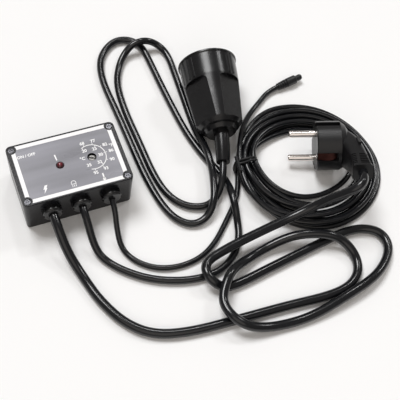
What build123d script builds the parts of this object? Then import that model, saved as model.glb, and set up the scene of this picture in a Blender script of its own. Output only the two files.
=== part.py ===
from build123d import *
import math
import os

# A dimmer thermostat: a small control box with three leads, millimetres, +Z up.
# The origin is the centre of the box's bottom face, +X along its long side,
# and the leads leave the long side that faces -Y.

# Case
case_length = 75.0
case_width = 48.0
case_height = 31.0
case_wall = 2.0
case_floor = 2.0
case_corner = 3.5
case_draft = 2.0
lid_thickness = 2.6
lid_edge = 0.5
lid_lip_height = 1.6
lid_lip_wall = 1.2
fit_gap = 0.2

# Lid screws and the posts that they turn into
screw_inset_x = 3.5
screw_inset_y = 3.5
post_radius = 3.6
lid_screw_radius = 1.3
lid_screw_length = 11.0
lid_screw_head_radius = 2.2
lid_screw_head_height = 1.2
screw_clearance = 0.1

# Lid label, which lies in a shallow recess
label_length = case_length - 5.4
label_width = case_width - 2.6
label_thickness = 0.25
label_screw_cutout = 3.4

# Indicator lamp and dial
lamp_x = -0.084 * case_length
lamp_radius = 2.5
lamp_hole_radius = 2.65
lamp_flange_radius = 2.95
lamp_flange_height = 1.0
lamp_body_height = 6.0
lamp_stand_out = 1.9
dial_x = 0.208 * case_length
spindle_radius = 2.5
spindle_sink = 1.3
dial_hole_radius = 2.95
spindle_slot_width = 0.9
spindle_slot_depth = 1.2
bearing_clearance = 0.05

# Circuit board
board_height = 6.0
board_thickness = 1.6
board_edge_gap = 0.6
standoff_radius = 2.8
board_screw_radius = 1.25
board_screw_head_radius = 2.1
board_screw_head_height = 1.4
board_screw_length = 5.0
board_screw_places = [
    (-0.387 * case_length, -12.0), (0.393 * case_length, -12.0),
    (-0.417 * case_length, 13.5), (0.413 * case_length, 12.5),
]

# Cords: mains lead, socket lead and probe lead
mains_diameter = 6.4
socket_lead_diameter = 5.2
probe_diameter = 3.9
core_diameter = 1.7
gland_height = 18.5
gland_x_mains = -0.26 * case_length
gland_x_socket = 0.5
gland_x_probe = 0.28 * case_length
gland_flange_radius = 6.8
gland_neck_radius = 5.0
gland_stand_out = 4.5
gland_barb_radius = 5.8
gland_barb_length = 1.2
sheath_end_y = -19.0

# Earthed angled plug
plug_face_radius = 17.5
plug_disc_depth = 17.0
plug_back_depth = 24.5
pin_radius = 2.4
pin_length = 19.0
pin_spacing = 19.0
pin_tip_rounding = 1.2
pin_root_depth = 8.0
pin_root_radius = 2.1
pin_undercut = 0.3
earth_slot_width = 6.4
earth_slot_depth = 2.6
earth_slot_length = 15.5
earth_strip_thickness = 0.8
guide_groove_width = 5.4
guide_groove_depth = 3.0
grip_length = 39.0
grip_end_size = (14.0, 12.0)
relief_slot_count = 6
relief_slot_pitch = 1.75
relief_slot_width = 0.85
relief_slot_depth = 1.5
relief_slot_front = (21.0, 7.2)
relief_slot_back = (32.2, 11.2)

# Trailing socket
socket_length = 58.0
socket_rim_radius = 21.6
socket_rim_depth = 1.6
socket_front_radius = 20.9
socket_collar_radius = 20.3
socket_back_radius = 16.0
cup_radius = 19.3
cup_draft = 0.6
cup_depth = 17.5
insert_wall = 0.5
insert_floor = 8.0
insert_back_radius = 14.8
insert_gap = 0.05
panel_depth = 3.0
panel_count = 4
panel_width = 21.0
panel_start = 6.0
panel_end = 38.2
panel_corner = 3.2
ridge_height = 0.8
ridge_width = 1.0
ridge_spacing = 4.6
contact_hole_radius = 2.7
contact_bore_radius = 2.45
contact_sleeve_radius = 3.3
contact_sleeve_length = 12.0
relief_length = 22.0
relief_radius = 5.6
relief_end_radius = 4.8

# Sensor on the probe lead
probe_length = 21.4
probe_radius = 3.3
probe_tip_radius = 2.3
probe_tip_length = 5.0
probe_ring_count = 4

# Coil of the probe lead: two layers of four turns, tied on the left
coil_turns_in_layer = 4
coil_layer_rise = 4.4
coil_left = 115.6
coil_top = 15.0
coil_right = 219.7
coil_bottom = -87.5
coil_left_pitch = 4.4
coil_top_pitch = 4.4
coil_right_pitch = 4.7
coil_bottom_pitch = 5.6
coil_side_y = -38.0
coil_middle_x = 165.0
coil_exit_length = 16.0
far_lead_run = 4.5
tie_y = -24.0
tie_left = 109.2
tie_right = 139.0
tie_wire_radius = 0.8
tie_twist_length = 11.5

# Routes of the free cords, chosen by hand from the photograph
MAINS_ROUTE = [
    (-17.5, -52.5, 8.5), (-12.5, -70, 3.2),
    (-7, -90, 3.2), (3.5, -110, 3.2), (19, -123, 3.2), (43, -128.5, 3.2),
    (74, -130, 3.2), (109, -131.5, 3.2), (138, -134, 3.2), (155, -132, 3.2),
    (165, -124.5, 3.2), (168.5, -114, 3.2), (165.5, -103, 7), (156, -95, 12.6),
    (136, -88.5, 12.6), (122, -87, 8), (106, -89, 3.6), (91, -94, 6),
    (80.5, -99, 12.6), (72.5, -107.5, 12.6), (67, -116.5, 11), (67, -125.5, 12.6),
    (71.5, -134.5, 12.6), (80.5, -140, 7.5), (97, -143, 3.2), (121, -144, 3.2),
    (148, -138.9, 7), (172, -132.8, 7.5), (187, -123, 5), (195, -112, 3.2),
    (193.5, -101.5, 3.2), (184, -95, 3.2), (169, -93, 3.2), (143, -97, 3.2),
    (108, -102.5, 3.2), (88, -106, 3.2), (77.5, -106.8, 3.2), (71, -105.6, 5.6),
    (65.8, -101.8, 10.4), (63.8, -95.5, 11.4), (65.6, -89.5, 10.5), (70.8, -86, 9.5),
    (78, -84.3, 10.5), (87, -82.5, 11.4), (98, -80.5, 11.4), (114, -78.5, 13.5),
    (133, -76.5, 15), (146, -76, 19.5), (156, -77, 26.5), (165.5, -80, 35.5),
    (174, -82, 43),
]
SOCKET_ROUTE = [
    (0.5, -50, 8), (3, -60, 2.6),
    (13, -73, 2.6), (30, -86, 2.6), (52, -94, 2.6), (72, -95, 2.6),
    (87, -88, 2.6), (97, -75, 2.6), (100.5, -62, 4), (102, -52, 9.5),
    (103.5, -42, 9.5), (105, -32, 3.6), (102.8, -21, 2.6), (96.5, -4, 2.6),
    (92, 17, 2.6), (90, 42, 2.6), (88.7, 67, 2.6), (88, 88, 2.6),
    (87, 101.5, 2.6), (80, 110.5, 2.6), (69, 112.5, 2.6), (58.5, 106, 2.6),
    (51, 95, 2.6), (48, 77, 2.6), (49.5, 50, 2.6), (50.5, 16, 2.6),
    (51.5, -12, 2.6), (55, -35, 2.6), (60.5, -48.5, 2.6), (70, -56, 2.6),
    (81, -54.5, 4.5), (89, -46, 10.5), (93.5, -33, 11.1), (97.5, -19, 8.8),
    (99.3, -5, 8.6), (99.4, 7.5, 5.2), (99.2, 20, 2.6), (100.8, 44, 2.6),
    (102.5, 70, 2.6), (103.5, 87, 2.6), (100, 97, 4.5), (91, 101, 10.8),
    (80, 101, 10.8), (71.5, 97, 5), (64, 88, 2.6), (57, 72, 2.6),
    (55.5, 47, 2.6), (56.8, 18, 2.6), (57.4, -9, 2.6), (61, -28, 2.6),
    (69.5, -40, 2.6), (81.5, -45, 2.6), (91, -42.8, 3.2), (97, -37, 7),
    (102.2, -28.9, 10.9), (105.4, -19.8, 11.8),
]
PROBE_NEAR_ROUTE = [
    (18.5, -46, 8), (18, -58, 2),
    (24, -70, 2), (36, -79, 2), (51, -82.5, 2), (67, -80.5, 2),
    (80.5, -72.5, 2), (93, -60, 2), (105.2, -45.4, 2), (111.2, -29, 2),
]
PROBE_FAR_ROUTE = [
    (117.6, -11.8, 6.4), (122, -5.2, 6.2), (126.5, 3, 3.8), (132, 9.8, 2),
    (142, 18.8, 2), (153.5, 27.2, 2), (164.8, 33.85, 2.8), (173, 35.11, 3.35),
]

# Levels that follow from the driving dimensions
rim_height = case_height - lid_thickness
board_top = board_height + board_thickness
screw_places = [
    (side_x * (case_length / 2 - screw_inset_x), side_y * (case_width / 2 - screw_inset_y))
    for side_x in (-1, 1)
    for side_y in (-1, 1)
]
glands = {
    "mains": (gland_x_mains, mains_diameter),
    "socket": (gland_x_socket, socket_lead_diameter),
    "probe": (gland_x_probe, probe_diameter),
}
parts = {}


def wall_offset(height):
    """How far the drafted wall has drawn in below the rim at a height."""
    return (rim_height - height) * math.tan(math.radians(case_draft))


def disc(radius, height, place=(0, 0, 0)):
    """An upright cylinder that stands on a place."""
    return Pos(*place) * Cylinder(radius, height, align=(Align.CENTER, Align.CENTER, Align.MIN))


def block(length, width, height, place=(0, 0, 0)):
    """A box that stands on a place."""
    return Pos(*place) * Box(length, width, height, align=(Align.CENTER, Align.CENTER, Align.MIN))


def drafted(inset, corner, depth):
    """The case's outline at the rim, drawn in by an inset and extruded down with the draft."""
    outline = RectangleRounded(case_length - 2 * inset, case_width - 2 * inset, corner)
    return extrude(Pos(0, 0, rim_height) * outline, amount=depth, dir=(0, 0, -1), taper=case_draft)


def turned(profile):
    """A solid turned about the Z axis from points of (radius, height)."""
    outline = Plane.XZ * make_face(Polyline(*profile, close=True))
    return revolve(outline, Axis.Z)


def tube_radii(points):
    """Each corner's arc is as large as its two runs allow."""
    radii = []
    for before, corner, after in zip(points, points[1:], points[2:]):
        run_in = Vector(*corner) - Vector(*before)
        run_out = Vector(*after) - Vector(*corner)
        half_turn = math.radians(run_in.get_angle(run_out)) / 2
        radii.append(0.45 * min(run_in.length, run_out.length) / math.tan(half_turn))
    return radii


def from_gland(gland_name, run, points):
    """A route that starts inside the case, runs straight through its gland and then on."""
    x, _ = glands[gland_name]
    return [(x, sheath_end_y, gland_height), (x, sheath_end_y - run, gland_height)] + points


def cord(name, points, diameter):
    """A round cord along straight runs joined by tangent arcs."""
    radii = tube_radii(points)
    path = FilletPolyline(*points, radius=radii)
    start = Plane(origin=points[0], z_dir=path % 0)
    tube = sweep(start * Circle(diameter / 2), path=path)
    expected = math.pi * diameter**2 / 4 * path.length
    print(f"{name}: length {path.length:.0f}, tightest arc {min(radii):.1f}, volume ratio {tube.volume / expected:.4f}")
    print("  radii", " ".join(f"{radius:.0f}" for radius in radii))
    return tube


def base_shell():
    """The drafted box with its posts, standoffs and the holes for the glands."""
    shell = drafted(0, case_corner, rim_height)
    cavity = drafted(case_wall, case_corner - case_wall, rim_height - case_floor)
    posts = Part() + [disc(post_radius, rim_height, (x, y, 0)) for x, y in screw_places]
    standoffs = Part() + [disc(standoff_radius, board_height, (x, y, 0)) for x, y in board_screw_places]
    body = shell - cavity + ((posts + standoffs) & shell)
    pilot_depth = lid_screw_length + 1
    for x, y in screw_places:
        body -= disc(lid_screw_radius + screw_clearance, pilot_depth, (x, y, rim_height - pilot_depth))
    for x, y in board_screw_places:
        body -= disc(board_screw_radius + screw_clearance, board_height - 1, (x, y, 1.5))
    for x, _ in glands.values():
        hole = Cylinder(gland_neck_radius + screw_clearance, 4 * case_wall, rotation=(90, 0, 0))
        body -= Pos(x, -case_width / 2 + case_wall, gland_height) * hole
    foot = body.faces().sort_by(Axis.Z)[0]
    return fillet(foot.outer_wire().edges(), 0.8)


def lid():
    """The cover: a plate with a locating lip, a label recess and sunk screw seats."""
    plate = extrude(Pos(0, 0, rim_height) * RectangleRounded(case_length, case_width, case_corner), lid_thickness)
    top_edges = plate.faces().sort_by(Axis.Z)[-1].outer_wire().edges()
    plate = fillet(top_edges, lid_edge)
    lip_inset = case_wall + fit_gap + wall_offset(rim_height - lid_lip_height)
    lip_outline = RectangleRounded(case_length - 2 * lip_inset, case_width - 2 * lip_inset, 1.2)
    inner = lip_inset + lid_lip_wall
    lip_outline -= RectangleRounded(case_length - 2 * inner, case_width - 2 * inner, 0.6)
    lip = extrude(Pos(0, 0, rim_height - lid_lip_height) * lip_outline, lid_lip_height)
    for x, y in screw_places:
        lip -= disc(post_radius + fit_gap, lid_lip_height, (x, y, rim_height - lid_lip_height))
    cover = plate + lip
    cover -= extrude(Pos(0, 0, case_height - label_thickness) * label_outline(0), label_thickness)
    for x, y in screw_places:
        cover -= disc(lid_screw_radius + screw_clearance, lid_thickness, (x, y, rim_height))
        seat = case_height - lid_screw_head_height
        cover -= disc(lid_screw_head_radius + screw_clearance, lid_screw_head_height, (x, y, seat))
    cover -= disc(lamp_hole_radius, lid_thickness, (lamp_x, 0, rim_height))
    cover -= disc(dial_hole_radius, lid_thickness, (dial_x, 0, rim_height))
    return cover


def label_outline(gap):
    """The label's outline, cut back round the four screws."""
    outline = RectangleRounded(label_length - 2 * gap, label_width - 2 * gap, 0.8)
    for x, y in screw_places:
        outline -= Pos(x, y) * Circle(label_screw_cutout + gap)
    return outline


def lid_label():
    """The printed film that lies in the lid's recess."""
    film = extrude(Pos(0, 0, case_height - label_thickness) * label_outline(0.05), label_thickness)
    film -= disc(lamp_hole_radius + 0.15, 1, (lamp_x, 0, case_height - 0.5))
    film -= disc(dial_hole_radius + 0.15, 1, (dial_x, 0, case_height - 0.5))
    return film


def cross_screw(shank_radius, shank_length, head_radius, head_height, place):
    """A pan-headed screw that hangs from its seat, with a cross recess."""
    seat = place[2]
    head = disc(head_radius, head_height, place)
    head = fillet(head.edges().sort_by(Axis.Z)[-1], head_height * 0.35)
    screw = head + disc(shank_radius, shank_length, (place[0], place[1], seat - shank_length))
    slot = block(head_radius * 1.2, head_radius * 0.28, head_height * 0.6)
    cross = slot + Rot(0, 0, 90) * slot
    return screw - Pos(place[0], place[1], seat + head_height * 0.4) * cross


def lid_screws():
    seat = case_height - lid_screw_head_height
    head_height = lid_screw_head_height - 0.3
    size = (lid_screw_radius, lid_screw_length + lid_thickness - 2.5, lid_screw_head_radius, head_height)
    return Part() + [cross_screw(*size, (x, y, seat)) for x, y in screw_places]


def board_screws():
    size = (board_screw_radius, board_screw_length, board_screw_head_radius, board_screw_head_height)
    return Part() + [cross_screw(*size, (x, y, board_top)) for x, y in board_screw_places]


def circuit_board():
    """The board, cut back round the corner posts and bored for its screws."""
    inset = case_wall + wall_offset(board_height) + board_edge_gap
    outline = RectangleRounded(case_length - 2 * inset, case_width - 2 * inset, 1.0)
    for x, y in screw_places:
        outline -= Pos(x, y) * Circle(post_radius + board_edge_gap)
    for x, y in board_screw_places:
        outline -= Pos(x, y) * Circle(board_screw_radius + screw_clearance)
    return extrude(Pos(0, 0, board_height) * outline, board_thickness)


def indicator_lamp():
    """The red lamp: flange, straight body and dome through the lid."""
    dome_top = case_height + lamp_stand_out
    straight_top = dome_top - lamp_radius
    flange = straight_top - lamp_body_height
    quarter = 45
    arc_point = (lamp_radius * math.sin(math.radians(quarter)), straight_top + lamp_radius * math.cos(math.radians(quarter)))
    outline = [
        Line((0, flange), (lamp_flange_radius, flange)),
        Line((lamp_flange_radius, flange), (lamp_flange_radius, flange + lamp_flange_height)),
        Line((lamp_flange_radius, flange + lamp_flange_height), (lamp_radius, flange + lamp_flange_height)),
        Line((lamp_radius, flange + lamp_flange_height), (lamp_radius, straight_top)),
        ThreePointArc((lamp_radius, straight_top), arc_point, (0, dome_top)),
        Line((0, dome_top), (0, flange)),
    ]
    return Pos(lamp_x, 0, 0) * revolve(Plane.XZ * make_face(outline), Axis.Z)


def lamp_base_height():
    return case_height + lamp_stand_out - lamp_radius - lamp_body_height


def lamp_spacer():
    """The tube that holds the lamp at its height above the board."""
    tube = disc(lamp_radius, lamp_base_height() - board_top, (lamp_x, 0, board_top))
    for side in (-1, 1):
        tube -= disc(0.45, lamp_base_height(), (lamp_x + side * 1.27, 0, board_top))
    return tube


def lamp_legs():
    height = lamp_base_height() - board_top
    return Part() + [disc(0.3, height, (lamp_x + side * 1.27, 0, board_top)) for side in (-1, 1)]


# Potentiometer under the dial, in millimetres above the board
pot_side = 14.0
pot_base_height = 6.0
pot_cavity_radius = 6.2
pot_floor = 1.8
pot_cover_height = 1.2
pot_collar_radius = 3.9
pot_collar_height = 6.5
wiper_radius = 5.6
wiper_gap = 0.4
track_height = 0.5
wiper_height = 1.2
spindle_pin_radius = 1.4
spindle_flange_radius = 4.0


def potentiometer_base():
    """The square base with the cavity for the track and the wiper."""
    base = fillet(block(pot_side, pot_side, pot_base_height).edges().filter_by(Axis.Z), 1.0)
    base -= disc(pot_cavity_radius, pot_base_height, (0, 0, pot_floor))
    base -= disc(spindle_pin_radius + bearing_clearance, pot_floor - 0.6, (0, 0, 0.6))
    return Pos(dial_x, 0, board_top) * base


def resistance_track():
    """The open ring of resistance that the wiper sweeps."""
    ring = disc(pot_cavity_radius - 0.3, track_height) - disc(pot_cavity_radius - 2.4, track_height)
    ring -= block(3.0, 8.0, track_height, (0, -5.0, 0))
    return Pos(dial_x, 0, board_top + pot_floor) * ring


def potentiometer_cover():
    """The cover plate with the collar in which the spindle turns."""
    plate = fillet(block(pot_side, pot_side, pot_cover_height).edges().filter_by(Axis.Z), 1.0)
    collar = disc(pot_collar_radius, pot_collar_height, (0, 0, pot_cover_height))
    collar = chamfer(collar.edges().sort_by(Axis.Z)[-1], 0.4)
    cover = plate + collar
    cover -= disc(spindle_radius + bearing_clearance, pot_cover_height + pot_collar_height)
    return Pos(dial_x, 0, board_top + pot_base_height) * cover


def wiper_disc():
    """The wiper on the spindle's lower end."""
    height = board_top + pot_floor + track_height + wiper_gap
    wiper = disc(wiper_radius, wiper_height) - disc(spindle_pin_radius + 0.02, wiper_height)
    return Pos(dial_x, 0, height) * wiper


def dial_spindle():
    """The slotted spindle: pin, flange, shaft and screwdriver slot."""
    pin_bottom = board_top + 0.8
    flange = board_top + pot_floor + track_height + wiper_gap + wiper_height
    top = case_height - spindle_sink
    shaft = disc(spindle_radius, top - flange, (dial_x, 0, flange))
    shaft = chamfer(shaft.edges().sort_by(Axis.Z)[-1], 0.35)
    spindle = shaft + disc(spindle_pin_radius, flange - pin_bottom, (dial_x, 0, pin_bottom))
    spindle += disc(spindle_flange_radius, 0.9, (dial_x, 0, flange))
    slot = block(2 * spindle_radius, spindle_slot_width, spindle_slot_depth)
    return spindle - Pos(dial_x, 0, top - spindle_slot_depth) * Rot(0, 0, -25) * slot


# Terminal blocks behind the glands
terminal_length = 10.4
terminal_depth = 7.0
terminal_height = 9.5
terminal_front_y = -15.0
terminal_pitch = 5.0
terminal_entry_height = 4.0
terminal_entry_radius = 1.3
terminal_screw_radius = 1.5
terminal_well_depth = 4.5
terminal_well_y = 0.4
terminal_entry_depth = 3.0


def terminal_blocks():
    """One two-way block for each lead, with wire entries and screw wells."""
    group = Part()
    for x, _ in glands.values():
        body = fillet(block(terminal_length, terminal_depth, terminal_height).edges().filter_by(Axis.Z), 0.5)
        for side in (-1, 1):
            way = side * terminal_pitch / 2
            well_floor = terminal_height - terminal_well_depth
            body -= disc(terminal_screw_radius + 0.2, terminal_well_depth, (way, terminal_well_y, well_floor))
            entry = Cylinder(terminal_entry_radius, terminal_entry_depth, rotation=(90, 0, 0))
            body -= Pos(way, (terminal_entry_depth - terminal_depth) / 2, terminal_entry_height) * entry
        group += Pos(x, terminal_front_y + terminal_depth / 2, board_top) * body
    return group


def terminal_screws():
    group = Part()
    seat = board_top + terminal_height - terminal_well_depth
    for x, _ in glands.values():
        for side in (-1, 1):
            place = (x + side * terminal_pitch / 2, terminal_front_y + terminal_depth / 2 + terminal_well_y, seat)
            head = disc(terminal_screw_radius, 1.8, place)
            slot = block(2.4, 0.5, 0.8, (place[0], place[1], seat + 1.0))
            group += head - slot
    return group


def lead_cores():
    """Two cores from each sheath's end down into its terminal block."""
    group = Part()
    entry = board_top + terminal_entry_height
    for x, diameter in glands.values():
        spread = diameter * 0.2
        for side in (-1, 1):
            way = x + side * terminal_pitch / 2
            points = [
                (x + side * spread, sheath_end_y, gland_height),
                (x + side * spread, sheath_end_y + 2.6, gland_height),
                (way, sheath_end_y + 2.3, entry),
                (way, terminal_front_y + 2.4, entry),
            ]
            path = FilletPolyline(*points, radius=[1.0, 1.0])
            radius = min(core_diameter, diameter * 0.36) / 2
            start = Plane(origin=points[0], z_dir=path % 0)
            group += sweep(start * Circle(radius), path=path)
    return group


# Power side of the board
choke_place = (-0.297 * case_length, 3.5)
choke_radius = 8.0
choke_bore = 3.6
choke_height = 7.0
winding_thickness = 0.9
film_capacitor_place = (-0.253 * case_length, 16.2)
film_capacitor_size = (0.24 * case_length, 6.4, 13.5)
fuse_place = (0.027 * case_length, 16.6)
fuse_radius = 2.5
fuse_length = 20.0
fuse_cap_length = 5.0
fuse_height = 4.6
can_place = (0.376 * case_length, 3.0)
can_radius = 4.0
can_height = 11.5
chip_place = (0.027 * case_length, 7.6)
resistor_offset = 12.4
resistor_pitch = 2.9
triac_x = 0.3 * case_length
heat_sink_y = 16.9
heat_sink_size = (0.2 * case_length, 1.5, 18.5)
fin_depth = 1.6


def choke_core():
    """The ring core of the suppression choke."""
    core = disc(choke_radius - winding_thickness, choke_height - 2 * winding_thickness)
    core -= disc(choke_bore + winding_thickness, choke_height)
    edges = core.edges().filter_by(GeomType.CIRCLE)
    core = fillet(edges, 0.6)
    return Pos(choke_place[0], choke_place[1], board_top + winding_thickness) * core


def choke_winding():
    """Bands of winding round the ring, between which the core shows."""
    sleeve = disc(choke_radius, choke_height) - disc(choke_bore, choke_height)
    room = disc(choke_radius - winding_thickness + 0.02, choke_height - 2 * winding_thickness + 0.04)
    room -= disc(choke_bore + winding_thickness - 0.02, choke_height)
    sleeve -= Pos(0, 0, winding_thickness - 0.02) * room
    for turn in range(3):
        gap = block(2 * choke_radius, 2.6, choke_height, (choke_radius, 0, 0))
        sleeve -= Rot(0, 0, 60 + 120 * turn) * gap
    return Pos(choke_place[0], choke_place[1], board_top) * sleeve


def film_capacitor():
    body = fillet(block(*film_capacitor_size).edges(), 0.6)
    return Pos(film_capacitor_place[0], film_capacitor_place[1], board_top) * body


def smoothing_capacitor():
    """The can, with the rolled groove near its foot and a vent cross on top."""
    profile = [
        (0, 0), (can_radius - 0.3, 0), (can_radius, 0.3), (can_radius, 1.4), (can_radius - 0.4, 1.9),
        (can_radius, 2.4), (can_radius, can_height - 0.5), (can_radius - 0.5, can_height), (0, can_height),
    ]
    can = turned(profile)
    for angle in (45, 135):
        can -= Pos(0, 0, can_height - 0.25) * Rot(0, 0, angle) * block(2 * can_radius - 2.4, 0.4, 0.4)
    return Pos(can_place[0], can_place[1], board_top) * can


def control_chip():
    """An eight-legged chip with its notch, standing in a socket strip."""
    body = block(9.4, 6.2, 3.2, (0, 0, 2.4)) - disc(0.9, 1.0, (-4.7, 0, 4.9))
    chip = body
    for row in (-1, 1):
        for leg in range(4):
            chip += block(0.8, 0.5, 3.4, (-3.81 + 2.54 * leg, row * 3.35, 0))
    return Pos(chip_place[0], chip_place[1], board_top) * chip


def fuse_tube():
    tube = Cylinder(fuse_radius - 0.3, fuse_length - 1.0, rotation=(0, 90, 0))
    return Pos(fuse_place[0], fuse_place[1], board_top + fuse_height) * tube


def fuse_caps():
    group = Part()
    for side in (-1, 1):
        cap = Cylinder(fuse_radius, fuse_cap_length, rotation=(0, 90, 0))
        inside = (fuse_length - 1.0) / 2
        centre = side * (fuse_length - fuse_cap_length) / 2
        group += Pos(centre, 0, 0) * cap - Cylinder(fuse_radius - 0.28, 2 * inside + 0.04, rotation=(0, 90, 0))
    return Pos(fuse_place[0], fuse_place[1], board_top + fuse_height) * group


def fuse_clips():
    """Two spring clips that hold the fuse by its caps."""
    group = Part()
    for side in (-1, 1):
        x = side * (fuse_length - fuse_cap_length) / 2
        clip = block(3.4, 2 * fuse_radius + 1.0, fuse_height + 1.2, (x, 0, 0))
        clip -= Pos(x, 0, fuse_height) * Cylinder(fuse_radius + 0.03, 4, rotation=(0, 90, 0))
        clip -= block(4, 2 * fuse_radius - 0.6, 4, (x, 0, fuse_height))
        clip -= block(4, 2 * fuse_radius - 0.4, fuse_height - fuse_radius - 1.2, (x, 0, 0.6))
        group += clip
    return Pos(fuse_place[0], fuse_place[1], board_top) * group


def heat_sink():
    """An upright plate with fins towards the wall and a hole for the triac's screw."""
    length, thickness, height = heat_sink_size
    plate = block(length, thickness, height, (0, thickness / 2, 0))
    outer = length / 2 - 0.5
    for x in (-outer, -outer * 0.6, outer * 0.6, outer):
        plate += block(1.0, fin_depth, height, (x, thickness + fin_depth / 2, 0))
    plate -= Pos(0, thickness / 2, triac_screw_height) * Cylinder(1.6, 8, rotation=(90, 0, 0))
    return Pos(triac_x, heat_sink_y, board_top) * plate


triac_leg_height = 3.4
triac_body_height = 8.6
triac_tab_height = 6.0
triac_screw_height = triac_leg_height + triac_body_height + 2.8


def triac():
    """The power device: moulded body, metal tab and three legs."""
    body = block(10.0, 3.2, triac_body_height, (0, -1.3 - 1.6, triac_leg_height))
    tab_height = triac_body_height + triac_tab_height
    tab = block(10.0, 1.3, tab_height, (0, -0.65, triac_leg_height))
    tab -= Pos(0, -0.65, triac_screw_height) * Cylinder(1.6, 4, rotation=(90, 0, 0))
    device = body + tab
    for leg in (-1, 0, 1):
        device += block(0.8, 0.6, triac_leg_height, (2.54 * leg, -2.4, 0))
    return Pos(triac_x, heat_sink_y, board_top) * device


def triac_screw():
    """The screw and nut that clamp the triac to its heat sink."""
    lie = (90, 0, 0)
    head = Pos(0, -1.3 - 0.9, 0) * Cylinder(2.7, 1.8, rotation=lie)
    shank = Pos(0, 0.9, 0) * Cylinder(1.45, 4.4, rotation=lie)
    slot = Pos(0, -3.1, 0) * Box(4.2, 0.8, 0.8)
    nut = extrude(Plane.XZ * RegularPolygon(2.9, 6), -1.4)
    nut = Pos(0, heat_sink_size[1], 0) * nut
    screw = head + shank + nut - slot
    return Pos(triac_x, heat_sink_y, board_top + triac_screw_height) * screw


def small_resistors():
    """Three small resistors with bent legs beside the chip."""
    group = Part()
    lie = 1.5
    for place in range(3):
        x = chip_place[0] - resistor_offset + resistor_pitch * place
        body = Cylinder(1.0, 5.6, rotation=(90, 0, 0))
        body += [Pos(0, side * 2.2, 0) * Cylinder(1.15, 1.2, rotation=(90, 0, 0)) for side in (-1, 1)]
        wire = Cylinder(0.3, 7.6, rotation=(90, 0, 0))
        legs = [block(0.6, 0.6, lie + 0.3, (0, side * 3.8, -lie)) for side in (-1, 1)]
        group += Pos(x, 8.4, board_top + lie) * (body + wire + legs)
    return group


def gland(x, diameter):
    """A bushing with a rounded flange, a neck through the wall and a snap barb."""
    seat = -case_width / 2 + wall_offset(gland_height + gland_flange_radius) - 0.02
    inner_wall = -case_width / 2 + case_wall + wall_offset(gland_height - gland_barb_radius) + 0.05
    front = gland_stand_out - (seat + case_width / 2)
    depth = inner_wall - seat
    rounding = 2.0
    bore = diameter / 2 + screw_clearance
    outline = [
        Line((bore, -depth - gland_barb_length), (gland_neck_radius - 0.2, -depth - gland_barb_length)),
        Line((gland_neck_radius - 0.2, -depth - gland_barb_length), (gland_barb_radius, -depth - 0.4)),
        Line((gland_barb_radius, -depth - 0.4), (gland_barb_radius, -depth)),
        Line((gland_barb_radius, -depth), (gland_neck_radius, -depth)),
        Line((gland_neck_radius, -depth), (gland_neck_radius, 0)),
        Line((gland_neck_radius, 0), (gland_flange_radius, 0)),
        Line((gland_flange_radius, 0), (gland_flange_radius, front - rounding)),
        ThreePointArc(
            (gland_flange_radius, front - rounding),
            (gland_flange_radius - 0.3 * rounding, front - 0.3 * rounding),
            (gland_flange_radius - rounding, front),
        ),
        Line((gland_flange_radius - rounding, front), (bore, front)),
        Line((bore, front), (bore, -depth - gland_barb_length)),
    ]
    bushing = revolve(Plane.XZ * make_face(outline), Axis.Z)
    for side in (-1, 1):
        notch = block(1.2, 2.2, 1.2, (side * (gland_flange_radius - 0.4), 0, front - 1.4))
        bushing -= notch
    return Location(Plane(origin=(x, seat, gland_height), x_dir=(1, 0, 0), z_dir=(0, -1, 0))) * bushing


# The plug's own frame: X from the pins' tips to its back, Z towards its grip
plug_frame = Plane(origin=(171.4, -29.8, 18.0), x_dir=(0.934, -0.340, 0.112), z_dir=(-0.351, -0.804, 0.480))
along_x = Location(Plane.YZ)


def grip_half_width(height):
    """Half of the grip's width at a height, between its root and its end."""
    root, end = 12.0, grip_end_size[1] / 2
    return root + (end - root) * (height - 8.0) / (grip_length - 8.0)


def plug_body():
    """The moulded body: a round face, a slanting grip and a slotted cord exit."""
    face = turned([
        (0, 0), (plug_face_radius - 0.7, 0), (plug_face_radius, 0.7),
        (plug_face_radius, plug_disc_depth), (plug_face_radius - 2.6, plug_disc_depth + 3.6),
        (plug_face_radius - 7.5, plug_back_depth - 0.8), (plug_face_radius - 10.5, plug_back_depth),
        (0, plug_back_depth),
    ])
    body = along_x * face
    sections = [
        (0.0, 16.5, 17.0, 25.0, 5.0),
        (9.0, 22.0, 16.0, 23.4, 5.0),
        (20.0, 25.5, 13.6, 19.4, 4.0),
        (grip_length, 28.0, grip_end_size[0], grip_end_size[1], 2.6),
    ]
    rings = [Pos(x, 0, z) * RectangleRounded(size_x, size_y, r) for z, x, size_x, size_y, r in sections]
    body += loft(rings)
    for side in (-1, 1):
        groove = block(plug_disc_depth + 1, guide_groove_depth + 2, guide_groove_width)
        y = side * (plug_face_radius - guide_groove_depth / 2 + 1)
        body -= Pos(plug_disc_depth / 2 - 0.5, y, -guide_groove_width / 2) * groove
        slot = block(earth_slot_length, earth_slot_width, earth_slot_depth + 2)
        z = plug_face_radius - earth_slot_depth if side > 0 else -plug_face_radius - 2
        body -= Pos(earth_slot_length / 2 - 0.5, 0, z) * slot
        body += Pos(28.6, side * (grip_half_width(13.0) - 0.4), 8.5) * block(2.0, 2.6, 9.0)
        hole = disc(pin_root_radius + screw_clearance, pin_root_depth)
        body -= Pos(0, side * pin_spacing / 2, 0) * along_x * hole
    for side in (-1, 1):
        for slot in range(relief_slot_count):
            height = grip_length - 2.4 - relief_slot_pitch * slot
            y = side * (grip_half_width(height) - relief_slot_depth + 3)
            for centre, length in (relief_slot_front, relief_slot_back):
                body -= Pos(centre, y, height - relief_slot_width) * block(length, 6, relief_slot_width)
    return plug_frame.location * body


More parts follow.
